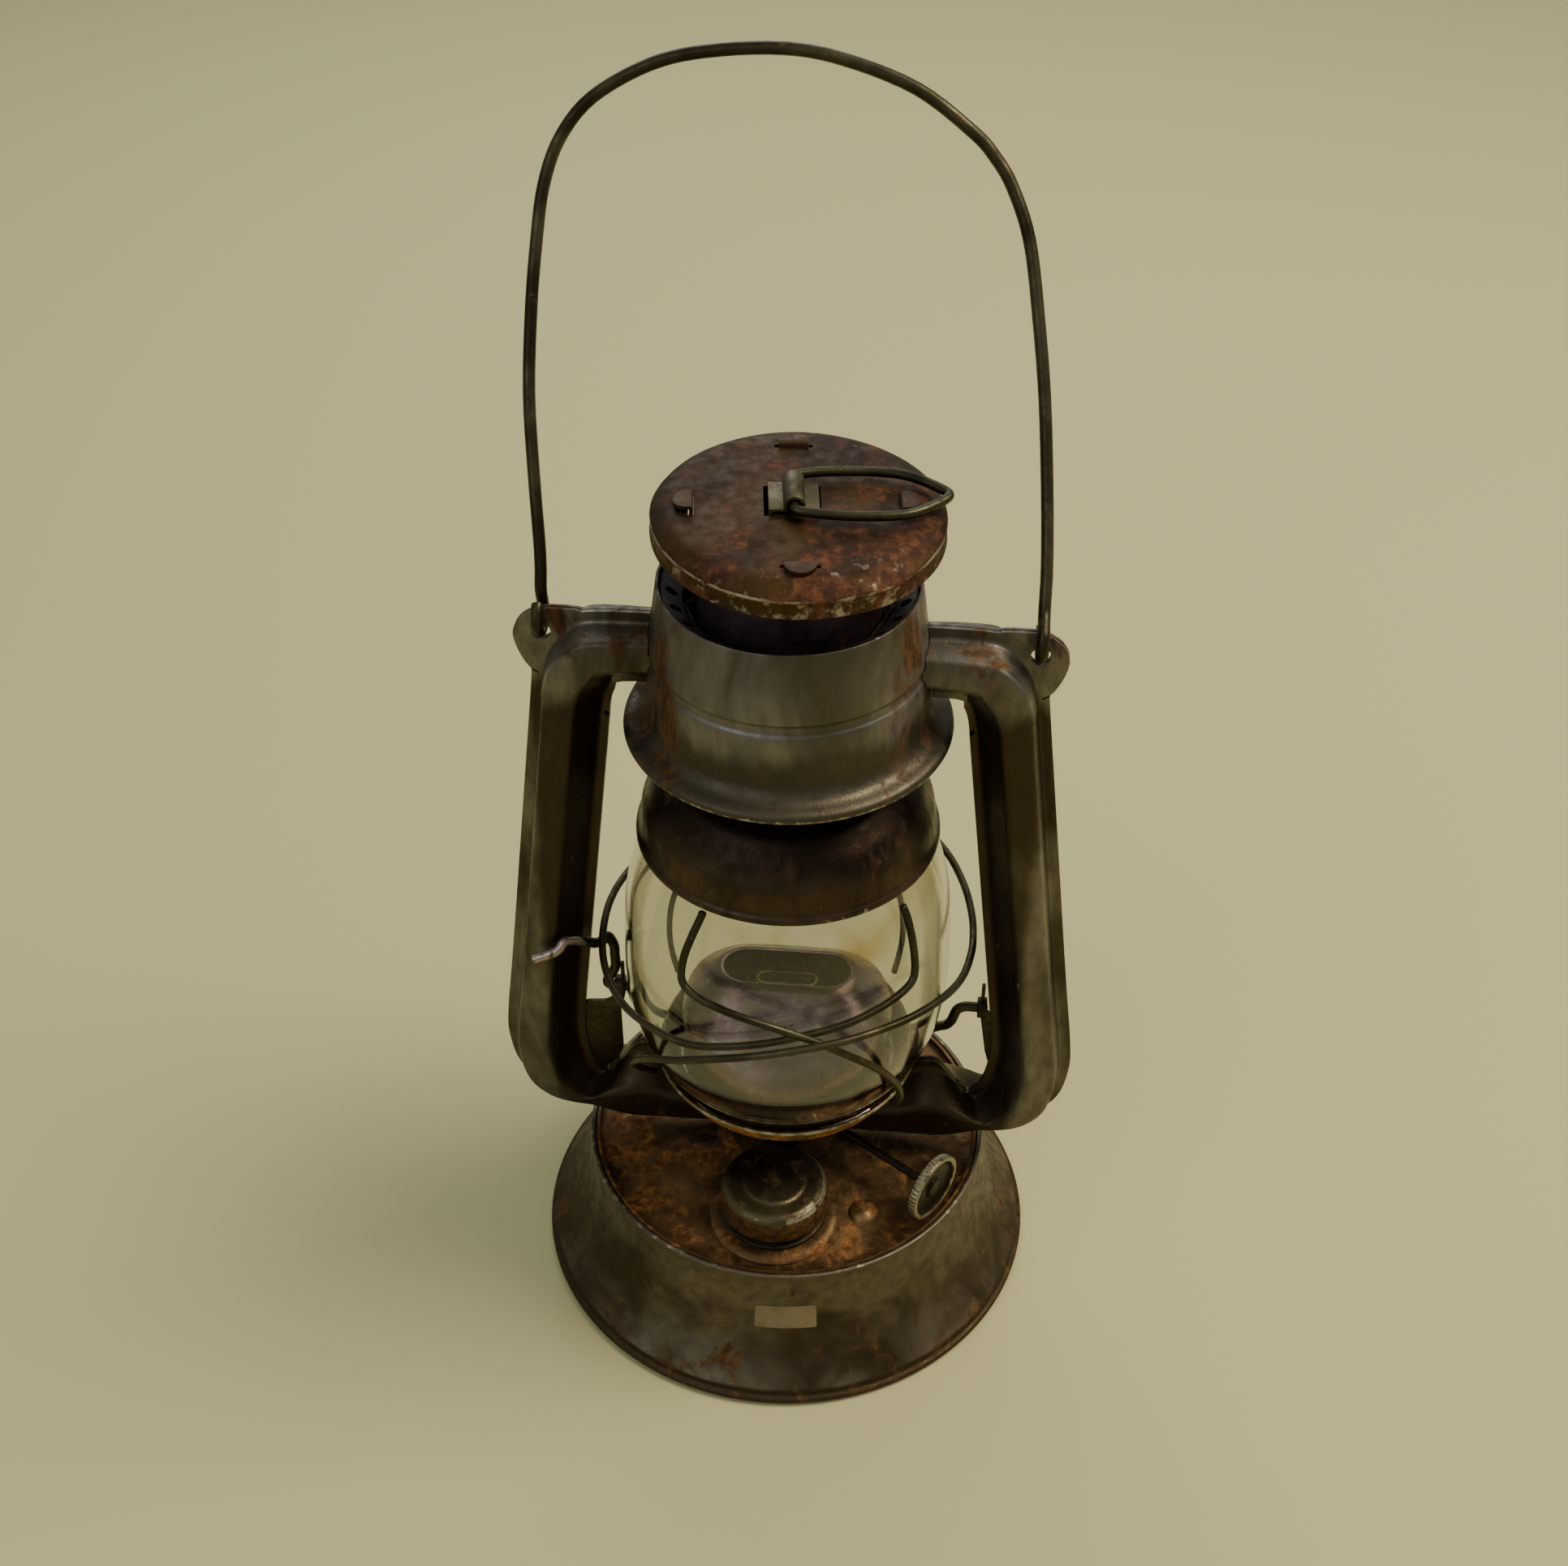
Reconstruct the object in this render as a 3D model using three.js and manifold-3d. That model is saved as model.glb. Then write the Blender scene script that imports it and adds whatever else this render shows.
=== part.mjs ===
import * as THREE from 'three';
import { mergeVertices } from 'three/addons/utils/BufferGeometryUtils.js';
import Module from 'manifold-3d';

// A hurricane lantern, millimetres, +Z up, origin at the bottom centre.
// X runs along the two side tubes and -Y is the front, where the filler cap is.

const wasm = await Module();
wasm.setup();

// Facets of a round piece
const ROUND = 24;
const SMALL_ROUND = 18;

// Sheet, wire and clearances
const SHEET = 0.8;
const GAP = 0.3;
const PLAY = 0.6;
const OVERRUN = 90;
const BAIL_WIRE_R = 1.4;
const LEVER_WIRE_R = 1.3;
const GUARD_WIRE_R = 0.95;
const RING_WIRE_R = 1.1;
const SPRING_WIRE_R = 0.5;

// Burner: collar, body, wick and the air chamber round them
const COLLAR_R = 13.4;
const COLLAR_RIM = 1;
const COLLAR_H = 5.3;
const BODY_R = 10.6;
const BODY_FLANGE = 2;
const CHAMBER_ROOM = 2.4;
const CHAMBER_FLARE = 8.8;
const WICK_TUBE_LENGTH = 16;
const WICK_TUBE_WIDTH = 5;
const WICK_TUBE_WALL = 0.7;
const WICK_THICKNESS = 2;
const WICK_LENGTH = 76;
const WHEEL_R = 2.5;
const WHEEL_W = 1.4;
const WHEEL_AT = 6.4;
const SHAFT_R = 1.1;
const SHAFT_DEGREES = -34.8;
const KNOB_R = 9.2;
const KNOB_HALF_W = 1.6;
const KNOB_IN = 2.9;

// Filler
const FILLER_X = -0.6;
const FILLER_ROOM = 0.95;
const NECK_R = 11.4;
const NECK_WALL = 1.6;
const NECK_H = 8.3;
const NECK_FOOT = 2;
const BOSS_H = 1.5;
const WASHER_H = 1.1;
const WASHER_W = 3;
const CAP_WALL = 1.6;
const CAP_CROWN = 2.4;
const CAP_SKIRT = 5.1;

// Fount
const FOOT_R = 66;
const FOOT_BEAD = 1.5;
const RIM_Z = 36;
const RIM_MARGIN = 8.65;
const RIM_SHEET = 1.2;
const PAN_Z = 5;
const PAN_RISE = 1.9;
const TOP_DROP = 2.8;
const TOP_DOME = 1.8;
const BUMP_R = 4.4;
const BUMP_H = 2.4;

// Globe, its plate and the flame cone
const GLOBE_R = 40.6;
const GLOBE_H = 94.8;
const GLASS = 1.6;
const PLATE_RISE = 24.7;
const PLATE_H = 7;
const PLATE_LIP = 5;
const CONE_H = 31.1;
const CONE_ROOM = 2;
const CONE_WALL = 0.8;
const SLOT_HALF_LENGTH = 17.2;
const SLOT_HALF_WIDTH = 6.8;
const GUARD_REACH = 6.8;

// Chimney, bell, crown and hood
const CHIMNEY_R = 20.4;
const CHIMNEY_COLLAR = 4.4;
const BELL_DROP = 15.6;
const BELL_LIP = 0.9;
const CROWN_LIFT = 15.2;
const CROWN_H = 38.7;
const CROWN_TOP_ROOM = 8.8;
const CROWN_TAPER = 2.5;
const BRIM_OUT = 6.3;
const FLOOR_RISE = 7.5;
const DRAUGHT_DROP = 3.1;
const HOLES = 24;
const HOLE_R = 1.3;
const HOOD_OUT = 2.4;
const HOOD_H = 7.6;
const HOOD_LIFT = 11.2;
const HOOD_X = 1.7;
const HOOD_Y = 2.1;
const HOOD_BACK_DEGREES = 2.7;
const HOOD_RIGHT_DEGREES = 1.3;
const HOOD_TURN_DEGREES = 6.5;
const LEG_ROOM = 1.45;
const LEG_LEAN_X = 1.4;
const LEG_LEAN_Y = 1.1;
const LEG_SHEET = 0.9;
const LEG_W = 5;
const LEG_TAB = 3.3;
const STRAP_W = 10.4;
const STRAP_FOOT = 5.4;
const RING_AT = -1.2;
const RING_REACH = 33;
const RING_HALF_W = 8.5;

// Side tubes, brackets, lever, ears and bail
const TUBE_ROOM = 12.4;
const TUBE_WIDTH = 21;
const TUBE_DEPTH = 8.6;
const TUBE_SHEET = 0.9;
const TUBE_RISE = 28.4;
const FLANGE_OUTER = 3;
const FLANGE_INNER = 2;
const TUBE_PORT_W = 11;
const ARM_PORT_W = 9;
const BRACKET_SHEET = 1.4;
const PIVOT_RISE = 22.3;
const BORE_PLAY = 0.35;
const KNUCKLE_WALL = 1.05;
const LEFT_KNUCKLE_IN = 9.7;
const LEFT_KNUCKLE_W = 2.6;
const RIGHT_KNUCKLE_IN = 3;
const RIGHT_KNUCKLE_W = 2.4;
const TAB_W = 0.9;
const TAB_H = 6.4;
const FINGER_ROOM = 1.65;
const BOW_ROOM = 2.1;
const EAR_OUT = 2.8;
const EAR_DROP = 6.4;
const EAR_SIZE = 9.8;
const EAR_HOLE_PLAY = 0.9;
const EYE_R = 3.9;
const EYE_DEGREES = 312;
const BAIL_LEAN_DEGREES = 27;
const BAIL_H = 121.4;

// Radii and heights that follow from these
const chamberR = COLLAR_R + CHAMBER_ROOM;
const capInR = NECK_R + SHEET;
const capR = capInR + CAP_WALL;
const fillerY = -(chamberR + capR + FILLER_ROOM);
const rimR = -fillerY + capR + RIM_MARGIN;
const wellR = rimR - RIM_SHEET - GAP;
const burnerHoleR = BODY_R + PLAY;
const topZ = RIM_Z - TOP_DROP;
const plateZ = RIM_Z + PLATE_RISE;
const globeZ = plateZ + SHEET + GAP;
const globeTopZ = globeZ + GLOBE_H;
const coneZ = plateZ + SHEET + GAP;
const wickTubeTopZ = coneZ + CONE_H - WICK_TUBE_WIDTH * 0.76;
const shaftZ = topZ + KNOB_R + WHEEL_R;
const knobAt = wellR - KNOB_IN;
const brimZ = globeTopZ + CROWN_LIFT;
const crownTopZ = brimZ + CROWN_H;
const crownTopR = CHIMNEY_R + CROWN_TOP_ROOM;
const crownR = crownTopR + CROWN_TAPER;
const hoodR = crownTopR + HOOD_OUT;
const hoodZ = crownTopZ + HOOD_LIFT;
const legR = CHIMNEY_R + LEG_ROOM;
const tubeInX = GLOBE_R + TUBE_ROOM;
const tubeX = tubeInX + TUBE_WIDTH;
const tubeTopZ = brimZ + TUBE_RISE;
const armZ = RIM_Z + PLAY;
const pivotZ = plateZ + PIVOT_RISE;
const boreR = LEVER_WIRE_R + BORE_PLAY;
const knuckleR = boreR + KNUCKLE_WALL;
const earX = tubeInX + EAR_OUT;
const earHoleZ = tubeTopZ - EAR_DROP;
const eyeZ = earHoleZ + EYE_R;

const V = (x, y, z) => new THREE.Vector3(x, y, z);
const radians = THREE.MathUtils.degToRad;
const mix = (a, b, share) => a + (b - a) * share;

// Where a line of [radius, z] points passes a radius (along 0) or a height (along 1),
// its other coordinate there.
function readOff(line, along, value) {
  const other = 1 - along;
  for (let i = 1; i < line.length; i += 1) {
    const a = line[i - 1];
    const b = line[i];
    const between = (a[along] - value) * (b[along] - value) <= 0 && a[along] !== b[along];
    if (between) return mix(a[other], b[other], (value - a[along]) / (b[along] - a[along]));
  }
  return line[line.length - 1][other];
}

// Only the positions are kept, so that shared corners merge into one closed skin.
function skin(geometry) {
  const bare = geometry.index ? geometry : geometry.clone();
  bare.deleteAttribute('normal');
  bare.deleteAttribute('uv');
  return mergeVertices(bare, 1e-4);
}

function volume(geometry) {
  const p = geometry.attributes.position;
  const a = new THREE.Vector3();
  const b = new THREE.Vector3();
  const c = new THREE.Vector3();
  let sum = 0;
  for (let i = 0; i < geometry.index.count; i += 3) {
    a.fromBufferAttribute(p, geometry.index.getX(i));
    b.fromBufferAttribute(p, geometry.index.getX(i + 1));
    c.fromBufferAttribute(p, geometry.index.getX(i + 2));
    sum += a.dot(b.cross(c));
  }
  return sum;
}

// Turns the faces out and drops the triangles that merged into a line.
function closed(geometry) {
  const g = skin(geometry);
  const flip = volume(g) < 0;
  const kept = [];
  for (let i = 0; i < g.index.count; i += 3) {
    const t = [g.index.getX(i), g.index.getX(i + 1), g.index.getX(i + 2)];
    if (t[0] === t[1] || t[1] === t[2] || t[0] === t[2]) continue;
    kept.push(...(flip ? [t[0], t[2], t[1]] : t));
  }
  g.setIndex(kept);
  return g;
}

function solid(geometry) {
  const g = closed(geometry);
  const vertProperties = new Float32Array(g.attributes.position.array);
  const triVerts = new Uint32Array(g.index.array);
  return new wasm.Manifold(new wasm.Mesh({ numProp: 3, vertProperties, triVerts }));
}

function fromSolid(manifold) {
  const mesh = manifold.getMesh();
  const g = new THREE.BufferGeometry();
  g.setAttribute('position', new THREE.BufferAttribute(new Float32Array(mesh.vertProperties), 3));
  g.setIndex([...mesh.triVerts]);
  return g;
}

// A lathe about Z whose profile, a list of [radius, z], closes on itself.
function turned(profile, segments = ROUND) {
  const points = profile.map(([r, z]) => new THREE.Vector2(r, z));
  points.push(points[0].clone());
  return closed(new THREE.LatheGeometry(points, segments).rotateX(Math.PI / 2));
}

// A turned solid whose profile starts and ends on the axis.
function turnedSolid(profile, segments = SMALL_ROUND) {
  const points = profile.map(([r, z]) => new THREE.Vector2(r, z));
  return closed(new THREE.LatheGeometry(points, segments).rotateX(Math.PI / 2));
}

// A spun sheet: the outer line is given from the bottom up, and the inner one lies a sheet inside.
function spun(outer, sheet = SHEET, segments = ROUND) {
  const inner = offsetLine(outer, sheet);
  return turned([...outer, ...inner.reverse()], segments);
}

// Moves an open line sideways, to the left of its direction, by the given distance.
function offsetLine(line, distance) {
  return line.map((p, i) => {
    const a = line[Math.max(i - 1, 0)];
    const b = line[Math.min(i + 1, line.length - 1)];
    const into = unit(p[0] - a[0], p[1] - a[1]) || unit(b[0] - p[0], b[1] - p[1]);
    const out = unit(b[0] - p[0], b[1] - p[1]) || into;
    const n = unit(-into[1] - out[1], into[0] + out[0]);
    const reach = Math.min(1 / Math.max(n[0] * -into[1] + n[1] * into[0], 0.5), 1.6);
    return [p[0] + n[0] * distance * reach, p[1] + n[1] * distance * reach];
  });
}

function unit(x, y) {
  const length = Math.hypot(x, y);
  return length > 1e-9 ? [x / length, y / length] : null;
}

// A smooth curve whose samples follow its own points, so tight bends get more of them.
class Through extends THREE.CatmullRomCurve3 {
  getUtoTmapping(u) {
    return u;
  }
}

function wire(points, radius, sides = 6) {
  const disc = new THREE.Shape();
  for (let i = 0; i < sides; i += 1) {
    const a = (2 * Math.PI * (i + 0.5)) / sides;
    const x = radius * Math.cos(a);
    const y = radius * Math.sin(a);
    if (i === 0) disc.moveTo(x, y);
    else disc.lineTo(x, y);
  }
  disc.closePath();
  const extrudePath = new Through(points, false, 'catmullrom', 0.5);
  const steps = points.length - 1;
  return closed(new THREE.ExtrudeGeometry(disc, { steps, bevelEnabled: false, extrudePath }));
}

function outline(points) {
  return new THREE.Shape(points.map(([x, y]) => new THREE.Vector2(x, y)));
}

// A flat sheet standing in the XZ plane, its middle at the given y.
function upright(shape, thickness, y, curveSegments = 6) {
  const g = new THREE.ExtrudeGeometry(shape, { depth: thickness, bevelEnabled: false, curveSegments });
  return closed(g.rotateX(Math.PI / 2).translate(0, y + thickness / 2, 0));
}

// A flat sheet lying level, its underside at the given z.
function level(shape, thickness, z, curveSegments = 6) {
  const g = new THREE.ExtrudeGeometry(shape, { depth: thickness, bevelEnabled: false, curveSegments });
  return closed(g.translate(0, 0, z));
}

function box(dx, dy, dz, x, y, z) {
  return closed(new THREE.BoxGeometry(dx, dy, dz).translate(x, y, z));
}

function rod(radius, length, sides = 12) {
  return new THREE.CylinderGeometry(radius, radius, length, sides);
}

// Joins rings of equal length into a closed skin, ending with a flat cap at each end.
function loft(rings, shutLoop) {
  const n = rings[0].length;
  const position = rings.flat().flatMap((p) => [p.x, p.y, p.z]);
  const index = [];
  const last = shutLoop ? rings.length : rings.length - 1;
  for (let i = 0; i < last; i += 1) {
    const next = (i + 1) % rings.length;
    for (let j = 0; j < n; j += 1) {
      const k = (j + 1) % n;
      index.push(i * n + j, i * n + k, next * n + k, i * n + j, next * n + k, next * n + j);
    }
  }
  const g = new THREE.BufferGeometry();
  g.setAttribute('position', new THREE.Float32BufferAttribute(position, 3));
  if (!shutLoop) {
    for (const [ring, turn] of [[0, 1], [rings.length - 1, 0]]) {
      for (let j = 0; j < n / 2 - 1; j += 1) {
        const a = ring * n + j;
        const b = ring * n + j + 1;
        const c = ring * n + n - 2 - j;
        const d = ring * n + n - 1 - j;
        if (turn) index.push(a, c, b, a, d, c);
        else index.push(a, b, c, a, c, d);
      }
    }
  }
  g.setIndex(index);
  return closed(g);
}

const STEEL = { color: 0x5a5148, roughness: 0.55, metalness: 0.85 };
const DARK_STEEL = { color: 0x40382f, roughness: 0.6, metalness: 0.8 };
const RUST = { color: 0x6b4326, roughness: 0.85, metalness: 0.4 };
const WIRE = { color: 0x4f4c38, roughness: 0.5, metalness: 0.85 };
const BRASS = { color: 0x6e5c3a, roughness: 0.5, metalness: 0.85 };
const COTTON = { color: 0x3b342c, roughness: 0.95, metalness: 0 };
const CORK = { color: 0x6b4f35, roughness: 0.9, metalness: 0 };
const GLASS_LOOK = { color: 0xf2f4ea, roughness: 0.05, metalness: 0, transparent: true, opacity: 0.3 };

const lantern = new THREE.Group();

function add(name, geometry, look) {
  const mesh = new THREE.Mesh(geometry, new THREE.MeshStandardMaterial(look));
  mesh.name = name;
  lantern.add(mesh);
  return mesh;
}

// Fount skirt: it flares from the rim to a foot whose edge is rolled round a wire.
// Shares of the way from the rim's radius to the foot's, and of the rim's height.
const SKIRT_SHARES = [[0.68, 0.19], [0.34, 0.38], [0.13, 0.6], [0, 0.87], [0, 1]];
const skirt = [
  [FOOT_R - FOOT_BEAD / 2, FOOT_BEAD * 2],
  ...SKIRT_SHARES.map(([out, up]) => [mix(rimR, FOOT_R, out), RIM_Z * up]),
];
const skirtInside = offsetLine(skirt, RIM_SHEET);
add('fount_skirt', turned([
  [FOOT_R - FOOT_BEAD * 1.3, 0], [FOOT_R - FOOT_BEAD / 2, 0], [FOOT_R, FOOT_BEAD],
  ...skirt, ...[...skirtInside].reverse(),
]), STEEL);

// Fount pan: the recessed bottom of the tank, its edge turned up inside the skirt.
{
  const edgeR = readOff(skirtInside, 1, PAN_Z + PAN_RISE) - GAP;
  const under = [[0, PAN_Z], [edgeR - PAN_RISE * 2, PAN_Z], [edgeR, PAN_Z + PAN_RISE]];
  add('fount_pan', turnedSolid([...under, ...offsetLine(under, SHEET).reverse()], ROUND), STEEL);
}

// Fount top: a domed plate with a turned-up wall inside the rim, a raised boss with the filler's
// hole, the burner's hole, and a small bump. Shares of the width from hole to wall, and the dome.
const TOP_SHARES = [[0, 1], [0.33, 0.6], [0.94, 0], [1, 0.33]];
const BUMP_SHARES = [[0, 1], [0.36, 0.92], [0.77, 0.54], [1, 0]];
const BUMP_AT_SHARE = 0.646;
const BUMP_DEGREES = -51.6;
const bossTopZ = topZ + BOSS_H;
const neckFootR = NECK_R + NECK_FOOT;
{
  const wallInR = wellR - SHEET;
  const over = TOP_SHARES.map(([out, up]) => [mix(burnerHoleR, wallInR, out), topZ + TOP_DOME * up]);
  over.push([wallInR, RIM_Z - SHEET / 2]);
  const plate = solid(turned([...over, ...offsetLine(over, -SHEET).reverse()]));
  const bossH = BOSS_H + SHEET / 2;
  const boss = solid(rod(neckFootR + NECK_FOOT, bossH, SMALL_ROUND).rotateX(Math.PI / 2)
    .translate(FILLER_X, fillerY, bossTopZ - bossH / 2));
  const hole = solid(rod(NECK_R - NECK_WALL + GAP, OVERRUN, SMALL_ROUND).rotateX(Math.PI / 2)
    .translate(FILLER_X, fillerY, topZ));
  const bumpShape = BUMP_SHARES.map(([out, up]) => [BUMP_R * out, topZ + SHEET / 2 + BUMP_H * up]);
  const bump = solid(turnedSolid([...bumpShape, [0, topZ + SHEET / 2]], 12)
    .translate(mix(burnerHoleR, wallInR, BUMP_AT_SHARE), 0, 0).rotateZ(radians(BUMP_DEGREES)));
  add('fount_top', fromSolid(plate.add(boss).add(bump).subtract(hole)), RUST);
}

// Filler: a neck with a foot ring soldered to the boss, a cork washer and a pressed screw cap.
// The crown of the cap is in shares of the cap's radius and of the crown's height.
const CAP_SHARES = [[1, -0.58], [0.957, 0.17], [0.855, 0.58], [0.61, 0.63], [0.55, 0.83], [0, 1]];
{
  const footZ = bossTopZ + GAP;
  const neckTopZ = footZ + NECK_H;
  const neckInR = NECK_R - NECK_WALL;
  const washerZ = neckTopZ + GAP;
  const washerOutR = neckInR - SHEET + WASHER_W;
  const ceilingZ = washerZ + WASHER_H + GAP;
  add('filler_neck', turned([
    [neckInR, footZ], [neckFootR, footZ], [neckFootR, footZ + SHEET], [NECK_R, footZ + SHEET * 1.5],
    [NECK_R, neckTopZ], [neckInR, neckTopZ],
  ], SMALL_ROUND).translate(FILLER_X, fillerY, 0), DARK_STEEL);
  add('filler_washer', turned([
    [washerOutR - WASHER_W, washerZ], [washerOutR, washerZ],
    [washerOutR, washerZ + WASHER_H], [washerOutR - WASHER_W, washerZ + WASHER_H],
  ], SMALL_ROUND).translate(FILLER_X, fillerY, 0), CORK);
  add('filler_cap', turnedSolid([
    [0, ceilingZ], [capInR, ceilingZ], [capInR, neckTopZ - CAP_SKIRT], [capR, neckTopZ - CAP_SKIRT],
    ...CAP_SHARES.map(([out, up]) => [capR * out, ceilingZ + CAP_CROWN * up]),
  ]).translate(FILLER_X, fillerY, 0), STEEL);
}

// Burner: a collar on the tank, the body that screws into it, the flat wick tube and the wick.
const turnShaft = (g) => g.rotateZ(radians(SHAFT_DEGREES));
const alongShaft = (g, at) => turnShaft(g.rotateZ(-Math.PI / 2).translate(at, 0, 0)).translate(0, 0, shaftZ);
const wheelWaySide = (WHEEL_R + PLAY * 2) * 2;
const wheelWay = solid(turnShaft(box(WHEEL_W + PLAY * 2, wheelWaySide, wheelWaySide, WHEEL_AT, 0, 0))
  .translate(0, 0, shaftZ));
const collarZ = topZ + TOP_DOME + GAP;
const collarTopZ = collarZ + COLLAR_H;
const bodyTopZ = plateZ - COLLAR_H + PLAY;
add('burner_collar', turned([
  [burnerHoleR, collarZ], [COLLAR_R + COLLAR_RIM, collarZ], [COLLAR_R + COLLAR_RIM, collarZ + COLLAR_RIM],
  [COLLAR_R, collarZ + COLLAR_RIM * 1.6], [COLLAR_R, collarTopZ], [burnerHoleR, collarTopZ],
], SMALL_ROUND), BRASS);
{
  const flangeZ = collarTopZ + GAP;
  const flangeR = BODY_R + BODY_FLANGE;
  const body = solid(turnedSolid([
    [0, topZ - SHEET * 4], [BODY_R, topZ - SHEET * 4], [BODY_R, flangeZ], [flangeR, flangeZ],
    [flangeR, flangeZ + SHEET * 1.5], [BODY_R, flangeZ + SHEET * 1.8], [BODY_R, bodyTopZ - BODY_FLANGE],
    [BODY_R - BODY_FLANGE, bodyTopZ], [0, bodyTopZ],
  ]));
  const tubeWay = solid(box(WICK_TUBE_LENGTH + GAP * 2, WICK_TUBE_WIDTH + GAP * 2, OVERRUN, 0, 0, topZ));
  const shaftWay = solid(alongShaft(rod(SHAFT_R + GAP, BODY_R, 10), WHEEL_AT + BODY_R / 2));
  add('burner_body', fromSolid(body.subtract(tubeWay).subtract(shaftWay).subtract(wheelWay)), BRASS);
}
function stadium(length, width, quarterSteps) {
  const r = Math.min(width, length) / 2;
  const points = [];
  const n = quarterSteps * 2;
  for (const side of [1, -1]) {
    for (let i = 0; i <= n; i += 1) {
      const a = (side > 0 ? -Math.PI / 2 : Math.PI / 2) + (Math.PI * i) / n;
      points.push(new THREE.Vector2(side * (length / 2 - r) + r * Math.cos(a), r * Math.sin(a)));
    }
  }
  return points;
}
{
  const flat = outline(stadium(WICK_TUBE_LENGTH, WICK_TUBE_WIDTH, 3).map((p) => [p.x, p.y]));
  const bore = stadium(WICK_TUBE_LENGTH - WICK_TUBE_WALL * 2, WICK_TUBE_WIDTH - WICK_TUBE_WALL * 2, 3);
  flat.holes.push(new THREE.Path(bore.reverse()));
  const tube = solid(level(flat, wickTubeTopZ - topZ - SHEET, topZ + SHEET));
  add('wick_tube', fromSolid(tube.subtract(wheelWay)), BRASS);
  const wickWidth = WICK_TUBE_LENGTH - WICK_TUBE_WALL * 4;
  const wickTopZ = wickTubeTopZ + SHEET;
  add('wick', box(wickWidth, WICK_THICKNESS, WICK_LENGTH, 0, 0, wickTopZ - WICK_LENGTH / 2), COTTON);
}

// Wick raiser: a toothed wheel on a shaft that leans away from the filler, with a dished hand wheel
// whose profile is in shares of its radius and half its width.
const KNOB_SHARES = [
  [0, -1], [0.26, -1], [0.28, -0.3], [0.76, -0.3], [0.85, -0.94], [0.96, -1], [1, -0.62],
  [1, 0.62], [0.96, 1], [0.85, 0.94], [0.76, 0.3], [0, 0.3],
];
{
  const from = WHEEL_AT + WHEEL_W / 2 + GAP;
  const to = knobAt - KNOB_HALF_W - GAP;
  const knob = KNOB_SHARES.map(([out, along]) => [KNOB_R * out, KNOB_HALF_W * along]);
  add('wick_wheel', alongShaft(rod(WHEEL_R, WHEEL_W, 12), WHEEL_AT), BRASS);
  add('wick_shaft', alongShaft(rod(SHAFT_R, to - from, 10), (from + to) / 2), BRASS);
  add('wick_knob', alongShaft(turnedSolid(knob).rotateX(-Math.PI / 2), knobAt), BRASS);
}

// Globe: clear glass, widest a little under its middle, in shares of its radius and height.
const GLOBE_SHARES = [
  [0.719, 0], [0.783, 0.065], [0.862, 0.118], [0.951, 0.209], [1, 0.34], [0.998, 0.508],
  [0.961, 0.667], [0.852, 0.821], [0.744, 0.899], [0.7, 1],
];
const globe = GLOBE_SHARES.map(([out, up]) => [GLOBE_R * out, globeZ + GLOBE_H * up]);
const globeFootR = globe[0][0];
const globeNeckR = globe[globe.length - 1][0];
const globeR = (z) => readOff(globe, 1, z);
add('globe', spun(globe, GLASS), GLASS_LOOK);

// Globe plate: a dish with a turned-out rim; the glass stands on its floor.
const plateR = globeFootR + PLATE_LIP;
add('globe_plate', spun([
  [chamberR + SHEET, plateZ], [globeFootR + SHEET, plateZ], [plateR - SHEET, plateZ + PLATE_H - GAP],
  [plateR, plateZ + PLATE_H],
]), RUST);

// Flame cone: a thin hood that goes from a round foot to an oblong slot along X. Shares of the
// way from the slot's half length and half width to the foot's radius, and of the height.
const CONE_SHARES = [
  [1, 1, 0], [1, 1, 0.113], [0.83, 0.862, 0.3], [0.405, 0.585, 0.55], [0.12, 0.266, 0.807], [0, 0, 1],
];
const CONE_DROP_SHARES = [0, 0.25, 0.5, 0.75, 0.75, 0];
function oblong(halfLength, halfWidth, z, count) {
  const ring = [];
  for (let i = 0; i < count; i += 1) {
    const a = (2 * Math.PI * (i + 0.5)) / count;
    const c = halfLength - halfWidth;
    const flat = halfWidth / Math.abs(Math.sin(a));
    const overFlat = Math.abs(flat * Math.cos(a)) <= c;
    const along = c * Math.abs(Math.cos(a));
    const round = along + Math.sqrt(Math.max(halfWidth ** 2 - (c * Math.sin(a)) ** 2, 0));
    const reach = overFlat ? flat : round;
    ring.push(V(reach * Math.cos(a), reach * Math.sin(a), z));
  }
  return ring;
}
{
  const footR = globeFootR - GLASS - CONE_ROOM;
  const ring = ([l, w, up], inset, drop) => oblong(
    mix(SLOT_HALF_LENGTH, footR, l) - inset,
    mix(SLOT_HALF_WIDTH, footR, w) - inset,
    coneZ + CONE_H * up - drop,
    24,
  );
  const outer = CONE_SHARES.map((row) => ring(row, 0, 0));
  const inner = CONE_SHARES.map((row, i) => ring(row, CONE_WALL, CONE_WALL * CONE_DROP_SHARES[i]));
  add('flame_cone', loft([...outer, ...inner.reverse()], true), STEEL);
}

// Air chamber: the drum under the globe plate that the lower arms blow into.
{
  const drum = solid(spun([
    [chamberR, collarZ], [chamberR, bodyTopZ + PLAY], [chamberR + SHEET * 2, plateZ - SHEET * 3],
    [chamberR + CHAMBER_FLARE, plateZ - GAP - SHEET],
  ], SHEET, SMALL_ROUND));
  const port = solid(box(chamberR * 2 + SHEET * 4, ARM_PORT_W, ARM_PORT_W, 0, 0, armZ + ARM_PORT_W * 0.72));
  const shaftHole = solid(alongShaft(rod(SHAFT_R + GAP * 2, SHEET * 8, 10), chamberR));
  add('air_chamber', fromSolid(drum.subtract(port).subtract(shaftHole)), STEEL);
}

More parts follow.
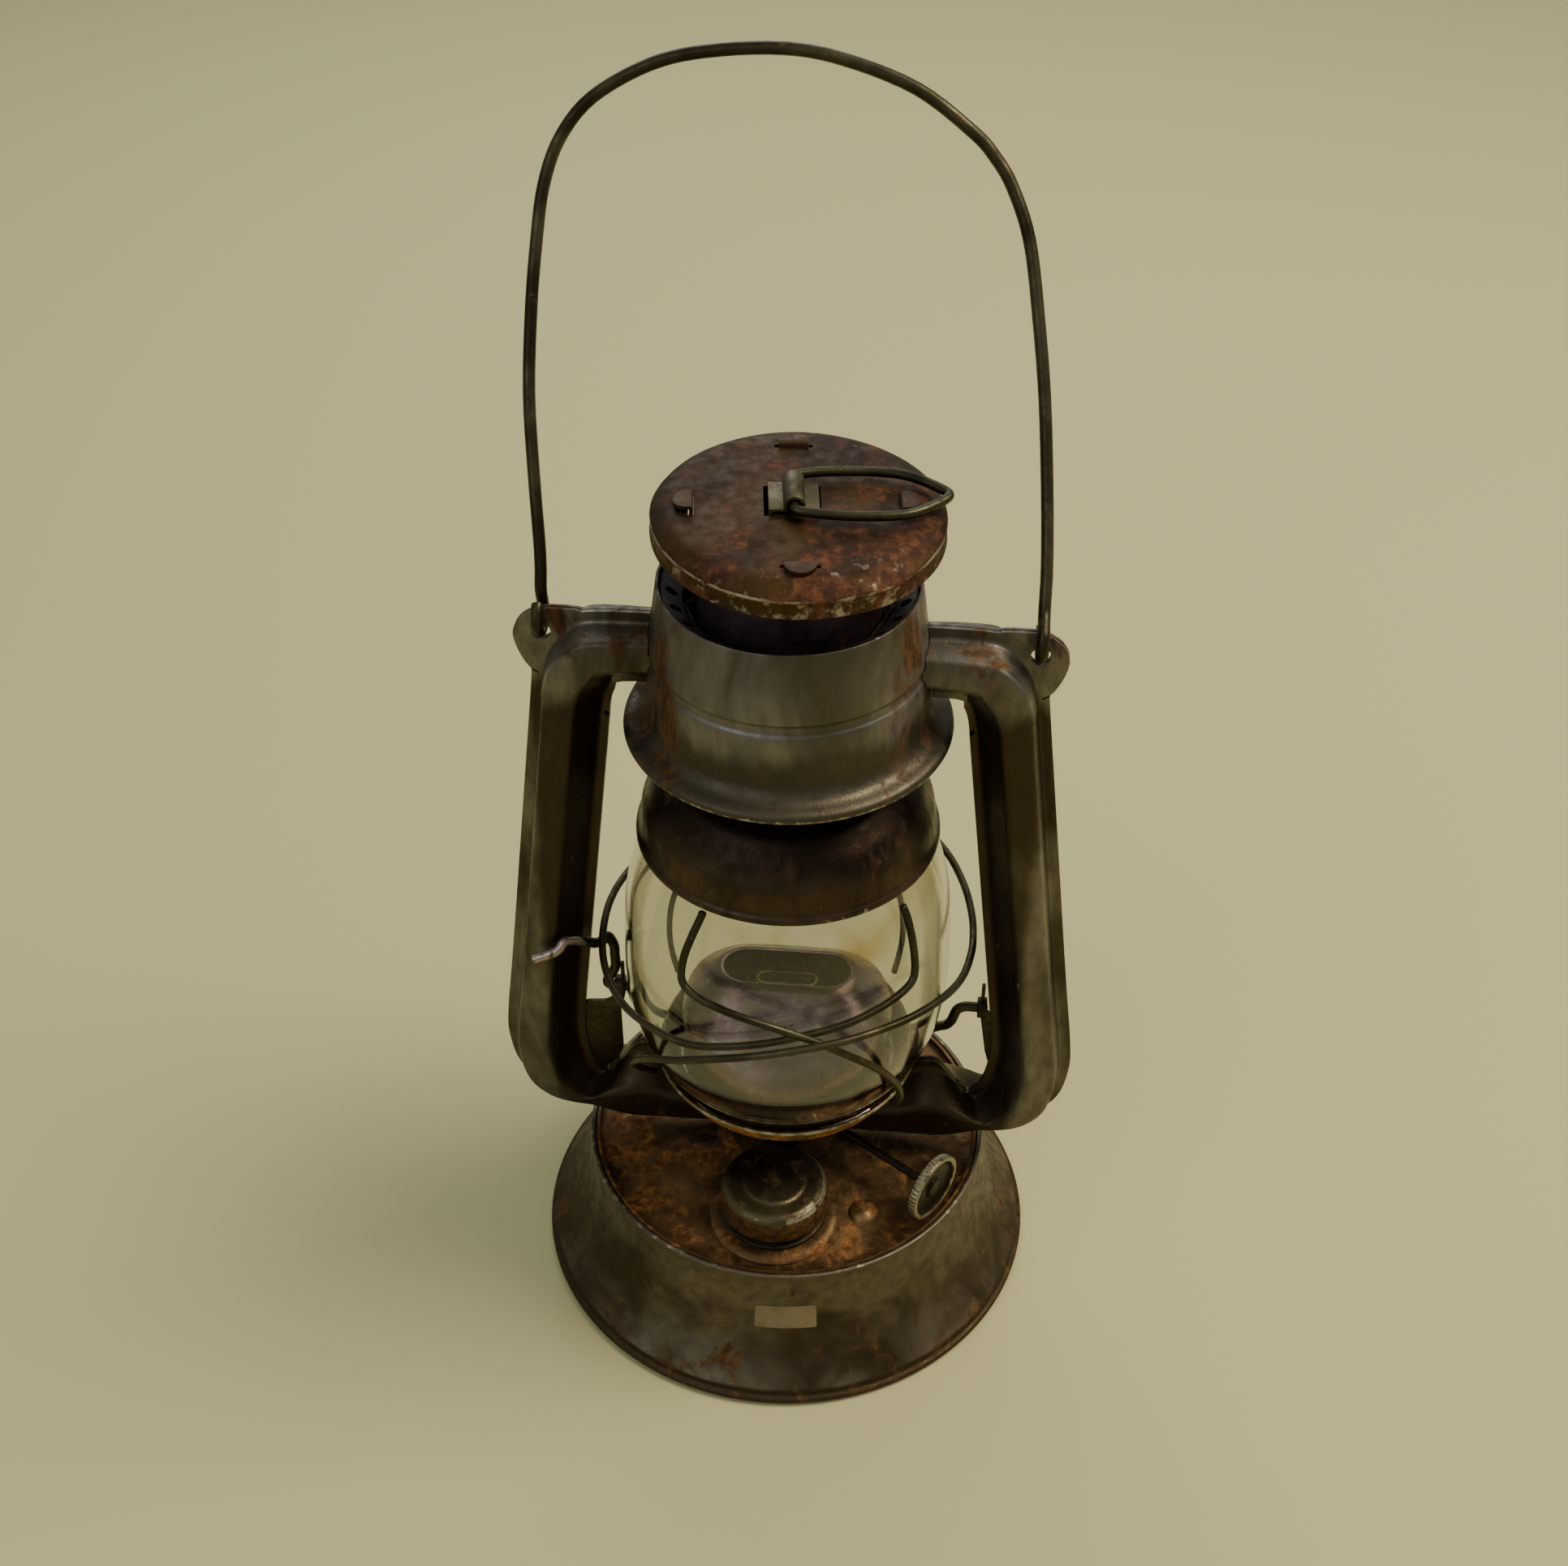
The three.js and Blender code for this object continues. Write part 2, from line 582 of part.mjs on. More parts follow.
// Guard wires: one hooks under the bell and swings round the left, one runs from the plate
// round the right, and two short ones slant down to the plate at the right. Each row has the
// degrees round from +X, the share of the globe's height, and that of the reach from the glass.
const LEFT_GUARD_SHARES = [
  [-40, 0.808, 0.29], [-39, 0.762, 0.28], [-39, 0.677, 0.28], [-40, 0.603, 0.28], [-45, 0.578, 0.28],
  [-54, 0.563, 0.28], [-66, 0.546, 0.28], [-78, 0.532, 0.28], [-91, 0.504, 0.28], [-104, 0.47, 0.29],
  [-117, 0.432, 0.32], [-128, 0.422, 0.44], [-138, 0.418, 0.56], [-147, 0.416, 0.68], [-157, 0.42, 0.76],
  [-168, 0.435, 0.82], [-180, 0.456, 0.82], [-192, 0.47, 0.82], [-205, 0.481, 0.74], [-220, 0.487, 0.59],
  [-236, 0.494, 0.43], [-252, 0.502, 0.31], [-269, 0.519, 0.28], [-285, 0.54, 0.28], [-300, 0.559, 0.28],
  [-311, 0.574, 0.28], [-319, 0.603, 0.28], [-321, 0.677, 0.28], [-321, 0.762, 0.28], [-320, 0.808, 0.29],
];
const RIGHT_GUARD_SIDE_SHARES = [
  [-151, 0.093, 0.5], [-148, 0.15, 0.71], [-142, 0.234, 0.91], [-136, 0.302, 1], [-128, 0.363, 1],
  [-119, 0.411, 1], [-110, 0.454, 1], [-94, 0.508, 1], [-79, 0.537, 1], [-66, 0.546, 1], [-50, 0.544, 1],
  [-35, 0.527, 0.97], [-22, 0.504, 0.91], [-10, 0.492, 0.84],
];
const RIGHT_GUARD_MIDDLE_SHARES = [[0, 0.487, 0.82]];
const STRUT_SHARES = [
  [-118, 0.806, 0.32], [-119, 0.766, 0.47], [-120, 0.709, 0.59], [-119, 0.652, 0.65], [-113, 0.624, 0.65],
  [-101, 0.605, 0.65], [-86, 0.57, 0.65], [-77, 0.532, 0.65], [-70, 0.489, 0.65], [-57, 0.386, 0.65],
  [-49, 0.287, 0.65], [-44, 0.192, 0.59], [-41, 0.129, 0.53], [-39, 0.091, 0.44],
];
const mirrored = (rows) => rows.map(([turn, up, away]) => [-turn, up, away]).reverse();
function guard(rows) {
  return wire(rows.map(([turn, up, away]) => {
    const z = globeZ + GLOBE_H * up;
    const r = globeR(z) + GUARD_REACH * away;
    return V(r * Math.cos(radians(turn)), r * Math.sin(radians(turn)), z);
  }), GUARD_WIRE_R);
}
const rightGuard = [
  ...RIGHT_GUARD_SIDE_SHARES, ...RIGHT_GUARD_MIDDLE_SHARES, ...mirrored(RIGHT_GUARD_SIDE_SHARES),
];
add('guard_left', guard(LEFT_GUARD_SHARES), WIRE);
add('guard_right', guard(rightGuard), WIRE);
add('guard_strut_front', guard(STRUT_SHARES), WIRE);
add('guard_strut_back', guard(mirrored(STRUT_SHARES)), WIRE);

// Lift lever: one wire through both knuckles, its bow under the plate and its finger end bent
// up and out over the front of the left tube. Shares of the tube's inner edge along X, of the
// finger's reach along Y, and of the height from the bow to the knuckles.
const LEVER_LEFT_SHARES = [
  [-1.176, -1, 1.782], [-1.148, -0.98, 1.813], [-1.079, -0.94, 1.87], [-1.05, -0.87, 1.908],
  [-1.033, -0.79, 1.956], [-1, -0.67, 1.928], [-0.965, -0.54, 1.868], [-0.937, -0.41, 1.794],
  [-0.912, -0.3, 1.728], [-0.88, -0.21, 1.722], [-0.861, -0.14, 1.752], [-0.846, -0.1, 1.709],
  [-0.832, -0.06, 1.583], [-0.832, -0.05, 1.466], [-0.834, -0.02, 1.283], [-0.86, -0.01, 1.146],
  [-0.879, 0, 1.057], [-0.872, 0, 1.004], [-0.845, 0, 1], [-0.792, 0, 1], [-0.773, 0.02, 0.968],
  [-0.762, 0.08, 0.858], [-0.749, 0.24, 0.615], [-0.713, 0.52, 0.332], [-0.645, 0.84, 0.117],
  [-0.558, 0.98, 0.02],
];
const LEVER_RIGHT_SHARES = [
  [0.558, 0.98, 0.02], [0.634, 0.87, 0.126], [0.698, 0.65, 0.296], [0.743, 0.43, 0.457],
  [0.781, 0.21, 0.607], [0.802, 0.08, 0.741], [0.811, 0.03, 0.838], [0.826, 0.01, 0.943],
  [0.86, 0, 0.996], [0.906, 0, 1], [0.97, 0, 1],
];
const BOW_DEGREES = [148, 134, 119, 104, 90, 76, 61, 46, 32];
{
  const bowR = chamberR + CHAMBER_FLARE + LEVER_WIRE_R + BOW_ROOM;
  const bowZ = plateZ - LEVER_WIRE_R - BOW_ROOM / 2;
  const reach = GAP / 2 + TUBE_SHEET + TUBE_DEPTH + LEVER_WIRE_R + FINGER_ROOM;
  const place = ([x, y, z]) => V(tubeInX * x, reach * y, mix(bowZ, pivotZ, z));
  const bow = BOW_DEGREES.map((turn) => V(
    bowR * Math.cos(radians(turn)),
    bowR * Math.sin(radians(turn)),
    bowZ,
  ));
  const points = [...LEVER_LEFT_SHARES.map(place), ...bow, ...LEVER_RIGHT_SHARES.map(place)];
  add('lift_lever', wire(points, LEVER_WIRE_R), WIRE);
}

// Crown: brim, fillet, bead and tapered collar, with a port for each tube. Shares of the way
// from the collar's foot to the brim's edge, and of the height.
const CROWN_SHARES = [
  [0.9, 0], [1, 0.026], [0.9, 0.062], [0.4, 0.085], [0.11, 0.145], [0, 0.48], [-0.13, 0.503],
  [-0.13, 0.548], [-0.03, 0.574],
];
const crown = CROWN_SHARES.map(([out, up]) => [crownR + BRIM_OUT * out, brimZ + CROWN_H * up]);
crown.push([crownTopR, crownTopZ]);
const crownInside = offsetLine(crown, SHEET);
const crownPortZ = mix(brimZ, crownTopZ, 0.495);
{
  const shell = solid(turned([...crown, ...[...crownInside].reverse()]));
  const port = solid(box(OVERRUN, TUBE_PORT_W, TUBE_PORT_W, 0, 0, crownPortZ));
  add('crown', fromSolid(shell.subtract(port)), STEEL);
}
{
  const floorZ = brimZ + FLOOR_RISE;
  const outR = readOff(crownInside, 1, floorZ) - GAP * 1.5;
  const inR = CHIMNEY_R + SHEET;
  add('crown_floor', turned([
    [inR, floorZ], [outR, floorZ], [outR, floorZ + SHEET], [inR, floorZ + SHEET],
  ]), STEEL);
}

// Draught ring: the sloping ring of holes inside the crown's top edge.
const ringInR = legR + LEG_SHEET + GAP * 1.7;
const ringFootZ = crownTopZ - SHEET * 2.4 - DRAUGHT_DROP;
{
  const outR = readOff(crownInside, 1, ringFootZ + DRAUGHT_DROP) - GAP;
  const sheet = SHEET * 1.1;
  const topOfRing = ringFootZ + DRAUGHT_DROP;
  let ring = solid(turned([
    [ringInR, ringFootZ], [outR, topOfRing], [outR, topOfRing + sheet], [ringInR, ringFootZ + sheet],
  ], HOLES));
  const middleR = (ringInR + outR) / 2;
  for (let i = 0; i < HOLES; i += 1) {
    const punch = rod(HOLE_R, HOLE_R * 6, 5).rotateX(Math.PI / 2).translate(middleR, 0, ringFootZ);
    ring = ring.subtract(solid(punch.rotateZ((2 * Math.PI * (i + 0.5)) / HOLES)));
  }
  add('draught_ring', fromSolid(ring), DARK_STEEL);
}

// Bell: the cap that presses on top of the globe, with a rolled lip.
const BELL_SHARES = [[0.944, 0.413]];
const bellTopZ = globeTopZ + BELL_DROP / 3;
{
  const bellZ = globeTopZ - BELL_DROP;
  const rim = globeR(bellZ) + SHEET * 2;
  const neck = CHIMNEY_R + BELL_LIP + GAP;
  add('bell', spun([
    [rim + BELL_LIP, bellZ], [rim + BELL_LIP, bellZ + BELL_LIP * 1.4], [rim, bellZ + BELL_LIP * 2.4],
    ...BELL_SHARES.map(([out, up]) => [mix(neck, rim, out), mix(bellZ, bellTopZ, up)]),
    [globeNeckR + BELL_LIP * 3.8, globeTopZ - BELL_LIP * 1.8],
    [globeNeckR - BELL_LIP * 1.1, globeTopZ + BELL_LIP * 2.9],
    [neck, bellTopZ],
  ]), STEEL);
}

// Chimney: the tube from the bell to the hood, with a collar that the spring presses on.
{
  const inR = CHIMNEY_R - SHEET;
  const collarOutR = CHIMNEY_R + CHIMNEY_COLLAR;
  const seatZ = brimZ + FLOOR_RISE + SHEET + GAP;
  const seatTopZ = seatZ + SHEET;
  const footZ = bellTopZ - SHEET * 3.75;
  const headZ = hoodZ + SHEET / 2;
  add('chimney', turned([
    [inR, footZ], [CHIMNEY_R, footZ], [CHIMNEY_R, seatZ], [collarOutR, seatZ],
    [collarOutR, seatTopZ], [CHIMNEY_R, seatTopZ], [CHIMNEY_R, headZ], [inR, headZ],
  ], SMALL_ROUND), DARK_STEEL);
  const turns = 4;
  const steps = 8;
  const springR = (CHIMNEY_R + SPRING_WIRE_R + PLAY) / Math.cos(Math.PI / steps);
  const lowZ = seatTopZ + GAP + SPRING_WIRE_R;
  const highZ = ringFootZ - GAP - SPRING_WIRE_R;
  const coil = [];
  for (let i = 0; i <= turns * steps; i += 1) {
    const a = (2 * Math.PI * i) / steps;
    coil.push(V(springR * Math.cos(a), springR * Math.sin(a), mix(lowZ, highZ, i / (turns * steps))));
  }
  add('chimney_spring', wire(coil, SPRING_WIRE_R, 5), WIRE);
}

// Hood: a shallow lid with a short skirt, a little turned, off centre and out of level, held on
// the chimney by four strips that lean with it. Shares of its radius and its height.
const HOOD_SHARES = [[1.012, 0], [1, 0.2], [1, 0.52], [0.965, 0.7], [0.87, 0.9], [0, 1]];
const LEG_NAMES = ['right', 'back', 'left', 'front'];
const lean = (g) => g.rotateZ(radians(HOOD_TURN_DEGREES)).rotateX(radians(HOOD_BACK_DEGREES))
  .rotateY(radians(HOOD_RIGHT_DEGREES)).translate(HOOD_X, HOOD_Y, hoodZ);
const hoodLine = HOOD_SHARES.map(([out, up]) => [hoodR * out, HOOD_H * up]);
function hoodTopAt(x, y) {
  const back = (y - HOOD_Y) * Math.tan(radians(HOOD_BACK_DEGREES));
  const right = (x - HOOD_X) * Math.tan(radians(HOOD_RIGHT_DEGREES));
  return hoodZ + readOff(hoodLine, 0, Math.hypot(x - HOOD_X, y - HOOD_Y)) + back - right;
}
const legTurn = (i) => (Math.PI / 2) * i + radians(HOOD_TURN_DEGREES);
{
  const inner = offsetLine(hoodLine, SHEET).map(([r, z]) => [Math.max(r, 0), z]);
  let lid = solid(lean(turned([...hoodLine, ...inner.reverse()])));
  for (let i = 0; i < LEG_NAMES.length; i += 1) {
    const slot = box(LEG_SHEET * 2.4, LEG_W + SHEET * 1.5, OVERRUN, legR + LEG_SHEET / 2, 0, hoodZ);
    lid = lid.subtract(solid(slot.rotateZ(legTurn(i)).translate(LEG_LEAN_X, LEG_LEAN_Y, 0)));
  }
  add('hood', fromSolid(lid), RUST);
}
LEG_NAMES.forEach((name, i) => {
  const x = LEG_LEAN_X + (legR + LEG_TAB) * Math.cos(legTurn(i));
  const y = LEG_LEAN_Y + (legR + LEG_TAB) * Math.sin(legTurn(i));
  const height = hoodTopAt(x, y) + GAP * 2 - crownTopZ + LEG_W / 2;
  const strip = upright(outline([
    [legR, 0], [legR + LEG_SHEET, 0], [legR + LEG_SHEET, height], [legR + LEG_SHEET + LEG_TAB, height],
    [legR + LEG_SHEET + LEG_TAB, height + SHEET], [legR, height + SHEET],
  ]), LEG_W, 0).rotateZ(legTurn(i));
  const slant = new THREE.Matrix4().makeShear(0, 0, 0, 0, LEG_LEAN_X / height, LEG_LEAN_Y / height);
  add(`hood_leg_${name}`, strip.applyMatrix4(slant).translate(0, 0, crownTopZ - LEG_W / 2), DARK_STEEL);
});

// Ring bracket: a strap with a round hump over the bar of the lifting ring.
const ringZ = HOOD_H + SHEET + RING_WIRE_R;
{
  const bayR = RING_WIRE_R + SHEET / 2;
  const humpR = bayR + SHEET;
  const footZ = HOOD_H + GAP;
  const footTopZ = footZ + SHEET;
  const arc = (r, count) => Array.from({ length: count + 1 }, (_, i) => {
    const a = Math.PI - (Math.PI * i) / count;
    return [RING_AT + r * Math.cos(a), ringZ + r * Math.sin(a)];
  });
  add('ring_bracket', lean(upright(outline([
    [RING_AT - STRAP_FOOT, footZ], [RING_AT - bayR, footZ], ...arc(bayR, 6), [RING_AT + bayR, footZ],
    [RING_AT + STRAP_FOOT, footZ], [RING_AT + STRAP_FOOT, footTopZ], [RING_AT + humpR, footTopZ],
    ...arc(humpR, 6).reverse(), [RING_AT - humpR, footTopZ], [RING_AT - STRAP_FOOT, footTopZ],
  ]), STRAP_W, 0)), STEEL);
}

// Lifting ring: a pointed loop of wire lying to the right over the hood, its two ends meeting
// under the strap. Shares of its reach and half its width, for one side.
const RING_SIDE_SHARES = [
  [0, 0.05], [0, 0.4], [0, 0.67], [0.018, 0.79], [0.07, 0.86], [0.2, 0.95], [0.38, 1], [0.55, 0.985],
  [0.7, 0.9], [0.82, 0.68], [0.92, 0.38],
];
const RING_TIP_SHARES = [[0.978, 0.17], [1, 0], [0.978, -0.17]];
{
  const side = RING_SIDE_SHARES.map(([along, out]) => [along, -out]);
  const tip = RING_TIP_SHARES.map(([along, out]) => [along, -out]);
  const rows = [...side, ...tip, ...[...RING_SIDE_SHARES].reverse()];
  const points = rows.map(([along, out]) => V(
    RING_AT + RING_REACH * along,
    RING_HALF_W * out,
    ringZ - (RING_WIRE_R / 2) * along,
  ));
  add('lift_ring', lean(wire(points, RING_WIRE_R)), WIRE);
}

// Side tubes: each is two pressed half shells with flat flanges, lofted along matching points
// of the outer and inner edge. Each row is [outer x, outer z, inner x, inner z, depth] in shares
// of the edges' own X, and of the height from the arm to the tube's top, or to the globe plate.
const UPRIGHT_SHARES = [
  [0.3, 1, 0.42, 0.886, 0.84], [0.589, 0.998, 0.717, 0.883, 0.96], [0.676, 0.985, 0.749, 0.87, 1],
  [0.75, 0.95, 0.77, 0.85, 1], [0.79, 0.9, 0.783, 0.82, 1], [0.806, 0.845, 0.795, 0.785, 1],
  [0.942, 0.381, 0.953, 0.357, 1], [0.991, 0.221, 1, 0.221, 1], [0.996, 0.159, 1, 0.171, 1],
];
const ARM_SHARES = [
  [0.969, 0.68, 0.977, 0.846, 1], [0.9, 0.42, 0.936, 0.68, 0.98], [0.811, 0.295, 0.887, 0.639, 0.96],
  [0.711, 0.19, 0.819, 0.863, 0.95], [0.581, 0.041, 0.747, 1.07, 0.92], [0.481, 0, 0.664, 1.07, 0.84],
  [0.392, 0, 0.547, 0.896, 0.8], [0.17, 0, 0.24, 0.788, 0.76],
];
// Across the half shell: shares of the width between the flanges, and of the depth.
const SECTION_SHARES = [[0, 0], [0.07, 0.88], [0.52, 1], [0.62, 0.93], [0.975, 0]];
const stationsOf = (rows, bottom, top) => rows.map(([outX, outZ, inX, inZ, deep]) => [
  tubeX * outX, mix(bottom, top, outZ), tubeInX * inX, mix(bottom, top, inZ), TUBE_DEPTH * deep,
]);
const stations = [
  ...stationsOf(UPRIGHT_SHARES, armZ, tubeTopZ), ...stationsOf(ARM_SHARES, armZ, plateZ),
];
const innerEdge = stations.map(([, , x, z]) => [x, z]);
function halfShell() {
  const rings = stations.map(([ox, oz, ix, iz, depth]) => {
    const width = Math.hypot(ix - ox, iz - oz);
    const ux = (ix - ox) / width;
    const uz = (iz - oz) / width;
    const from = FLANGE_OUTER;
    const to = width - FLANGE_INNER;
    const back = -GAP / 2 - TUBE_SHEET;
    const line = [
      [0, back],
      ...SECTION_SHARES.map(([across, deep]) => [mix(from, to, across), back - depth * deep]),
      [width, back],
    ];
    const inside = offsetLine(line, TUBE_SHEET).reverse();
    return [...line, ...inside].map(([w, y]) => V(ox + ux * w, Math.min(y, -GAP / 2), oz + uz * w));
  });
  return loft(rings, false);
}
// The ear of each half, in shares of its size from the hole.
const EAR_SHARES = [
  [-1, 0.62], [-0.59, 0.64], [0, 0.63], [0.45, 0.39], [0.7, -0.05], [0.57, -0.61], [0.31, -1.1],
  [0.12, -1.1], [0.04, -0.64], [-0.24, -0.14], [-0.65, 0.2], [-1, 0.37],
];
{
  const ear = solid(upright(
    outline(EAR_SHARES.map(([x, z]) => [earX + EAR_SIZE * x, earHoleZ + EAR_SIZE * z])),
    TUBE_SHEET,
    -GAP / 2 - TUBE_SHEET / 2,
  ));
  const earHole = solid(rod(BAIL_WIRE_R + EAR_HOLE_PLAY, OVERRUN, 10).translate(earX, 0, earHoleZ));
  const outside = offsetLine(crown.slice(3), -GAP);
  const crownWay = solid(turnedSolid([[0, outside[0][1]], ...outside, [0, crownTopZ]], ROUND));
  const drumWay = solid(rod(chamberR + GAP * 1.4, OVERRUN, ROUND).rotateX(Math.PI / 2)
    .translate(0, 0, bodyTopZ));
  const half = fromSolid(solid(halfShell()).add(ear).subtract(earHole).subtract(crownWay).subtract(drumWay));
  add('tube_right_front', closed(half.clone()), STEEL);
  add('tube_right_back', closed(half.clone().scale(1, -1, 1)), STEEL);
  add('tube_left_front', closed(half.clone().scale(-1, 1, 1)), STEEL);
  add('tube_left_back', closed(half.clone().scale(-1, -1, 1)), STEEL);
}

// Lever brackets: plates between the side tubes and the globe, wide at the left and narrow at
// the right, each with a knuckle and a tab on top. Shares of the way from the knuckle to the
// tube's edge, and of the height from the arm's bend to the knuckle.
const LEFT_PLATE_SHARES = [
  [1, 0.33], [1, 0.53], [1, 0.78], [0.42, 0.8], [0.13, 0.87], [0.13, 1], [-0.12, 1], [-0.12, 0.87],
  [0.03, 0.77], [0.03, 0.22], [0.22, 0.1], [0.62, 0], [0.97, 0.03], [1, 0.15],
];
const RIGHT_PLATE_SHARES = [
  [1, 0.37], [1, 0.6], [1, 0.92], [0.5, 1], [-0.5, 1], [-0.15, 0.93], [0.52, 0.48], [0.85, 0.36],
];
function bracket(rows, knuckleX, knuckleW, tabX) {
  const bendZ = mix(armZ, plateZ, 0.69);
  const plate = outline(rows.map(([out, up]) => {
    const z = mix(bendZ, pivotZ, up);
    return [mix(knuckleX, readOff(innerEdge, 1, z) - GAP, out), z];
  }));
  const round = (r, length) => solid(rod(r, length, 12).rotateZ(Math.PI / 2).translate(knuckleX, 0, pivotZ));
  const tab = solid(box(TAB_W, BRACKET_SHEET, TAB_H, tabX, 0, pivotZ + boreR + TAB_H / 2));
  return fromSolid(solid(upright(plate, BRACKET_SHEET, 0))
    .add(round(knuckleR, knuckleW)).add(tab).subtract(round(boreR, OVERRUN / 8)));
}
{
  const rightX = tubeInX - RIGHT_KNUCKLE_IN;
  const leftX = tubeInX - LEFT_KNUCKLE_IN;
  const leftTabX = leftX - LEFT_KNUCKLE_W / 2 + TAB_W / 2;
  add('bracket_right', bracket(RIGHT_PLATE_SHARES, rightX, RIGHT_KNUCKLE_W, rightX), DARK_STEEL);
  const left = bracket(LEFT_PLATE_SHARES, leftX, LEFT_KNUCKLE_W, leftTabX);
  add('bracket_left', closed(left.scale(-1, 1, 1)), DARK_STEEL);
}

// Bail: a slightly uneven arch, in shares of the ear's X and of its height along the lean,
// ending in an eye round the web of each ear; the left eye goes behind its ear.
const ARCH_SHARES = [
  [-1.007, 0.132], [-1.032, 0.247], [-1.057, 0.395], [-1.054, 0.544], [-1.038, 0.659],
  [-1.013, 0.758], [-0.952, 0.84], [-0.832, 0.909], [-0.618, 0.966], [-0.403, 0.991],
  [-0.115, 1], [0.116, 0.985], [0.394, 0.941], [0.615, 0.872], [0.7, 0.833], [0.772, 0.784],
  [0.849, 0.695], [0.905, 0.556], [0.948, 0.417], [0.982, 0.247], [0.998, 0.132],
];
// The eye's turn, then its end that runs out along the arch, in shares of the eye's radius.
const EYE_END_SHARES = [[1.13, 0.31], [1.69, 0.05], [2.56, 0]];
const EYE_END_DEGREES = 42.4;
const EYE_STEPS = 12;
{
  const lie = radians(BAIL_LEAN_DEGREES);
  const leaning = (x, along, off) => V(
    x,
    along * Math.sin(lie) + off * Math.cos(lie),
    eyeZ + along * Math.cos(lie) - off * Math.sin(lie),
  );
  const eye = (x, way) => {
    const points = [];
    for (let i = 0; i <= EYE_STEPS; i += 1) {
      const a = radians(mix(EYE_DEGREES, EYE_END_DEGREES, i / EYE_STEPS));
      points.push(leaning(x, EYE_R * Math.cos(a), way * EYE_R * Math.sin(a)));
    }
    const end = EYE_END_SHARES.map(([along, off]) => leaning(x, EYE_R * along, way * EYE_R * off));
    return [...points, ...end];
  };
  const arch = ARCH_SHARES.map(([x, along]) => leaning(earX * x, BAIL_H * along, 0));
  add('bail', wire([...eye(-earX, 1), ...arch, ...eye(earX, -1).reverse()], BAIL_WIRE_R), WIRE);
}

export default lantern;
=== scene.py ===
import math

import bmesh
import bpy
from mathutils import Matrix, Vector, noise


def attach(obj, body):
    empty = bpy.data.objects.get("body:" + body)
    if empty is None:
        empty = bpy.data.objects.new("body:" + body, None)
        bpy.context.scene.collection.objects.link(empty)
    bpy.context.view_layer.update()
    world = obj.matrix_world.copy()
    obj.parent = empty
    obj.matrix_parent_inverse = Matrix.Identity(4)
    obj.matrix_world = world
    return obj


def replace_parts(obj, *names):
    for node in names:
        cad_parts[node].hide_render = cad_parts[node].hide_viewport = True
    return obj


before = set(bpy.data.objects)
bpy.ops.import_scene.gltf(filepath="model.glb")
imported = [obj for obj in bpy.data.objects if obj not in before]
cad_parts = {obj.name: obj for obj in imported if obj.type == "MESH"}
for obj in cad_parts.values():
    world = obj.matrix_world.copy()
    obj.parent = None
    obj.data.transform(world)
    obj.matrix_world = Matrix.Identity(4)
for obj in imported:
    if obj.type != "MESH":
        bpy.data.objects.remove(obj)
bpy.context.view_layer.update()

# Camera: it looks down at the lantern from the front right, close by, with a slight roll.
# The place and turn are the photograph's own, worked out from its ellipses.
CAMERA_AT = (0.02973, -0.36555, 0.45065)
CAMERA_PITCH = 39.04
CAMERA_HEADING = 4.81
CAMERA_ROLL = 0.2
CAMERA_LENS = 46.08


def placed(name, data):
    """A new object for this data, linked to the scene."""
    thing = bpy.data.objects.new(name, data)
    bpy.context.scene.collection.objects.link(thing)
    return thing


def spun(degrees, axis):
    """A turn about an axis."""
    return Matrix.Rotation(math.radians(degrees), 4, axis)


camera_data = bpy.data.cameras.new("camera")
camera_data.lens = CAMERA_LENS
camera_data.sensor_width = 36
camera_data.clip_start = 0.01
camera = placed("camera", camera_data)
turn = spun(CAMERA_HEADING, "Z") @ spun(90 - CAMERA_PITCH, "X") @ spun(CAMERA_ROLL, "Z")
camera.matrix_world = Matrix.Translation(CAMERA_AT) @ turn
bpy.context.scene.camera = camera

# Studio: matt cream paper far wider than the lantern, in an even pale room, with one big soft
# lamp at the right and behind, and two weak ones that lift the shadows.
FLOOR_HALF = 3.0
FLOOR_DROP = 0.0002
PAPER_CREAM = "#BAB482"
ROOM_TINT = "#DDE0D6"
ROOM_STRENGTH = 0.5
LAMP_AIM = (0, 0, 0.12)
LAMPS = [
    ("lamp_right", (0.85, 0.1, 1.35), 0.75, 24, "#FFF3E0"),
    ("lamp_front", (-0.6, -0.8, 0.9), 0.9, 3, "#F0F4FF"),
    ("lamp_back", (-0.2, 0.9, 0.8), 0.7, 3.5, "#F6F8FF"),
]


def linear(hex_colour):
    """An sRGB hex colour as linear red, green, blue and alpha."""
    levels = [int(hex_colour[i:i + 2], 16) / 255 for i in (1, 3, 5)]
    return [c / 12.92 if c <= 0.04045 else ((c + 0.055) / 1.055) ** 2.4 for c in levels] + [1.0]


def add_node(tree, kind, inputs=None, **settings):
    """Adds one node: its settings, then each input as a value or as a link from a socket."""
    made = tree.nodes.new("ShaderNode" + kind)
    for key, value in settings.items():
        setattr(made, key, value)
    for key, value in (inputs or {}).items():
        if isinstance(value, bpy.types.NodeSocket):
            tree.links.new(value, made.inputs[key])
        else:
            made.inputs[key].default_value = value
    return made


def new_finish(name):
    """A material, its node tree and the piece's own coordinates in it."""
    material = bpy.data.materials.new(name)
    material.use_nodes = True
    tree = material.node_tree
    tree.nodes.clear()
    return material, tree, add_node(tree, "TexCoord").outputs["Object"]


def clad(piece, *finishes):
    """Gives a piece its materials in place of any it has."""
    piece.data.materials.clear()
    for finish in finishes:
        piece.data.materials.append(finish)


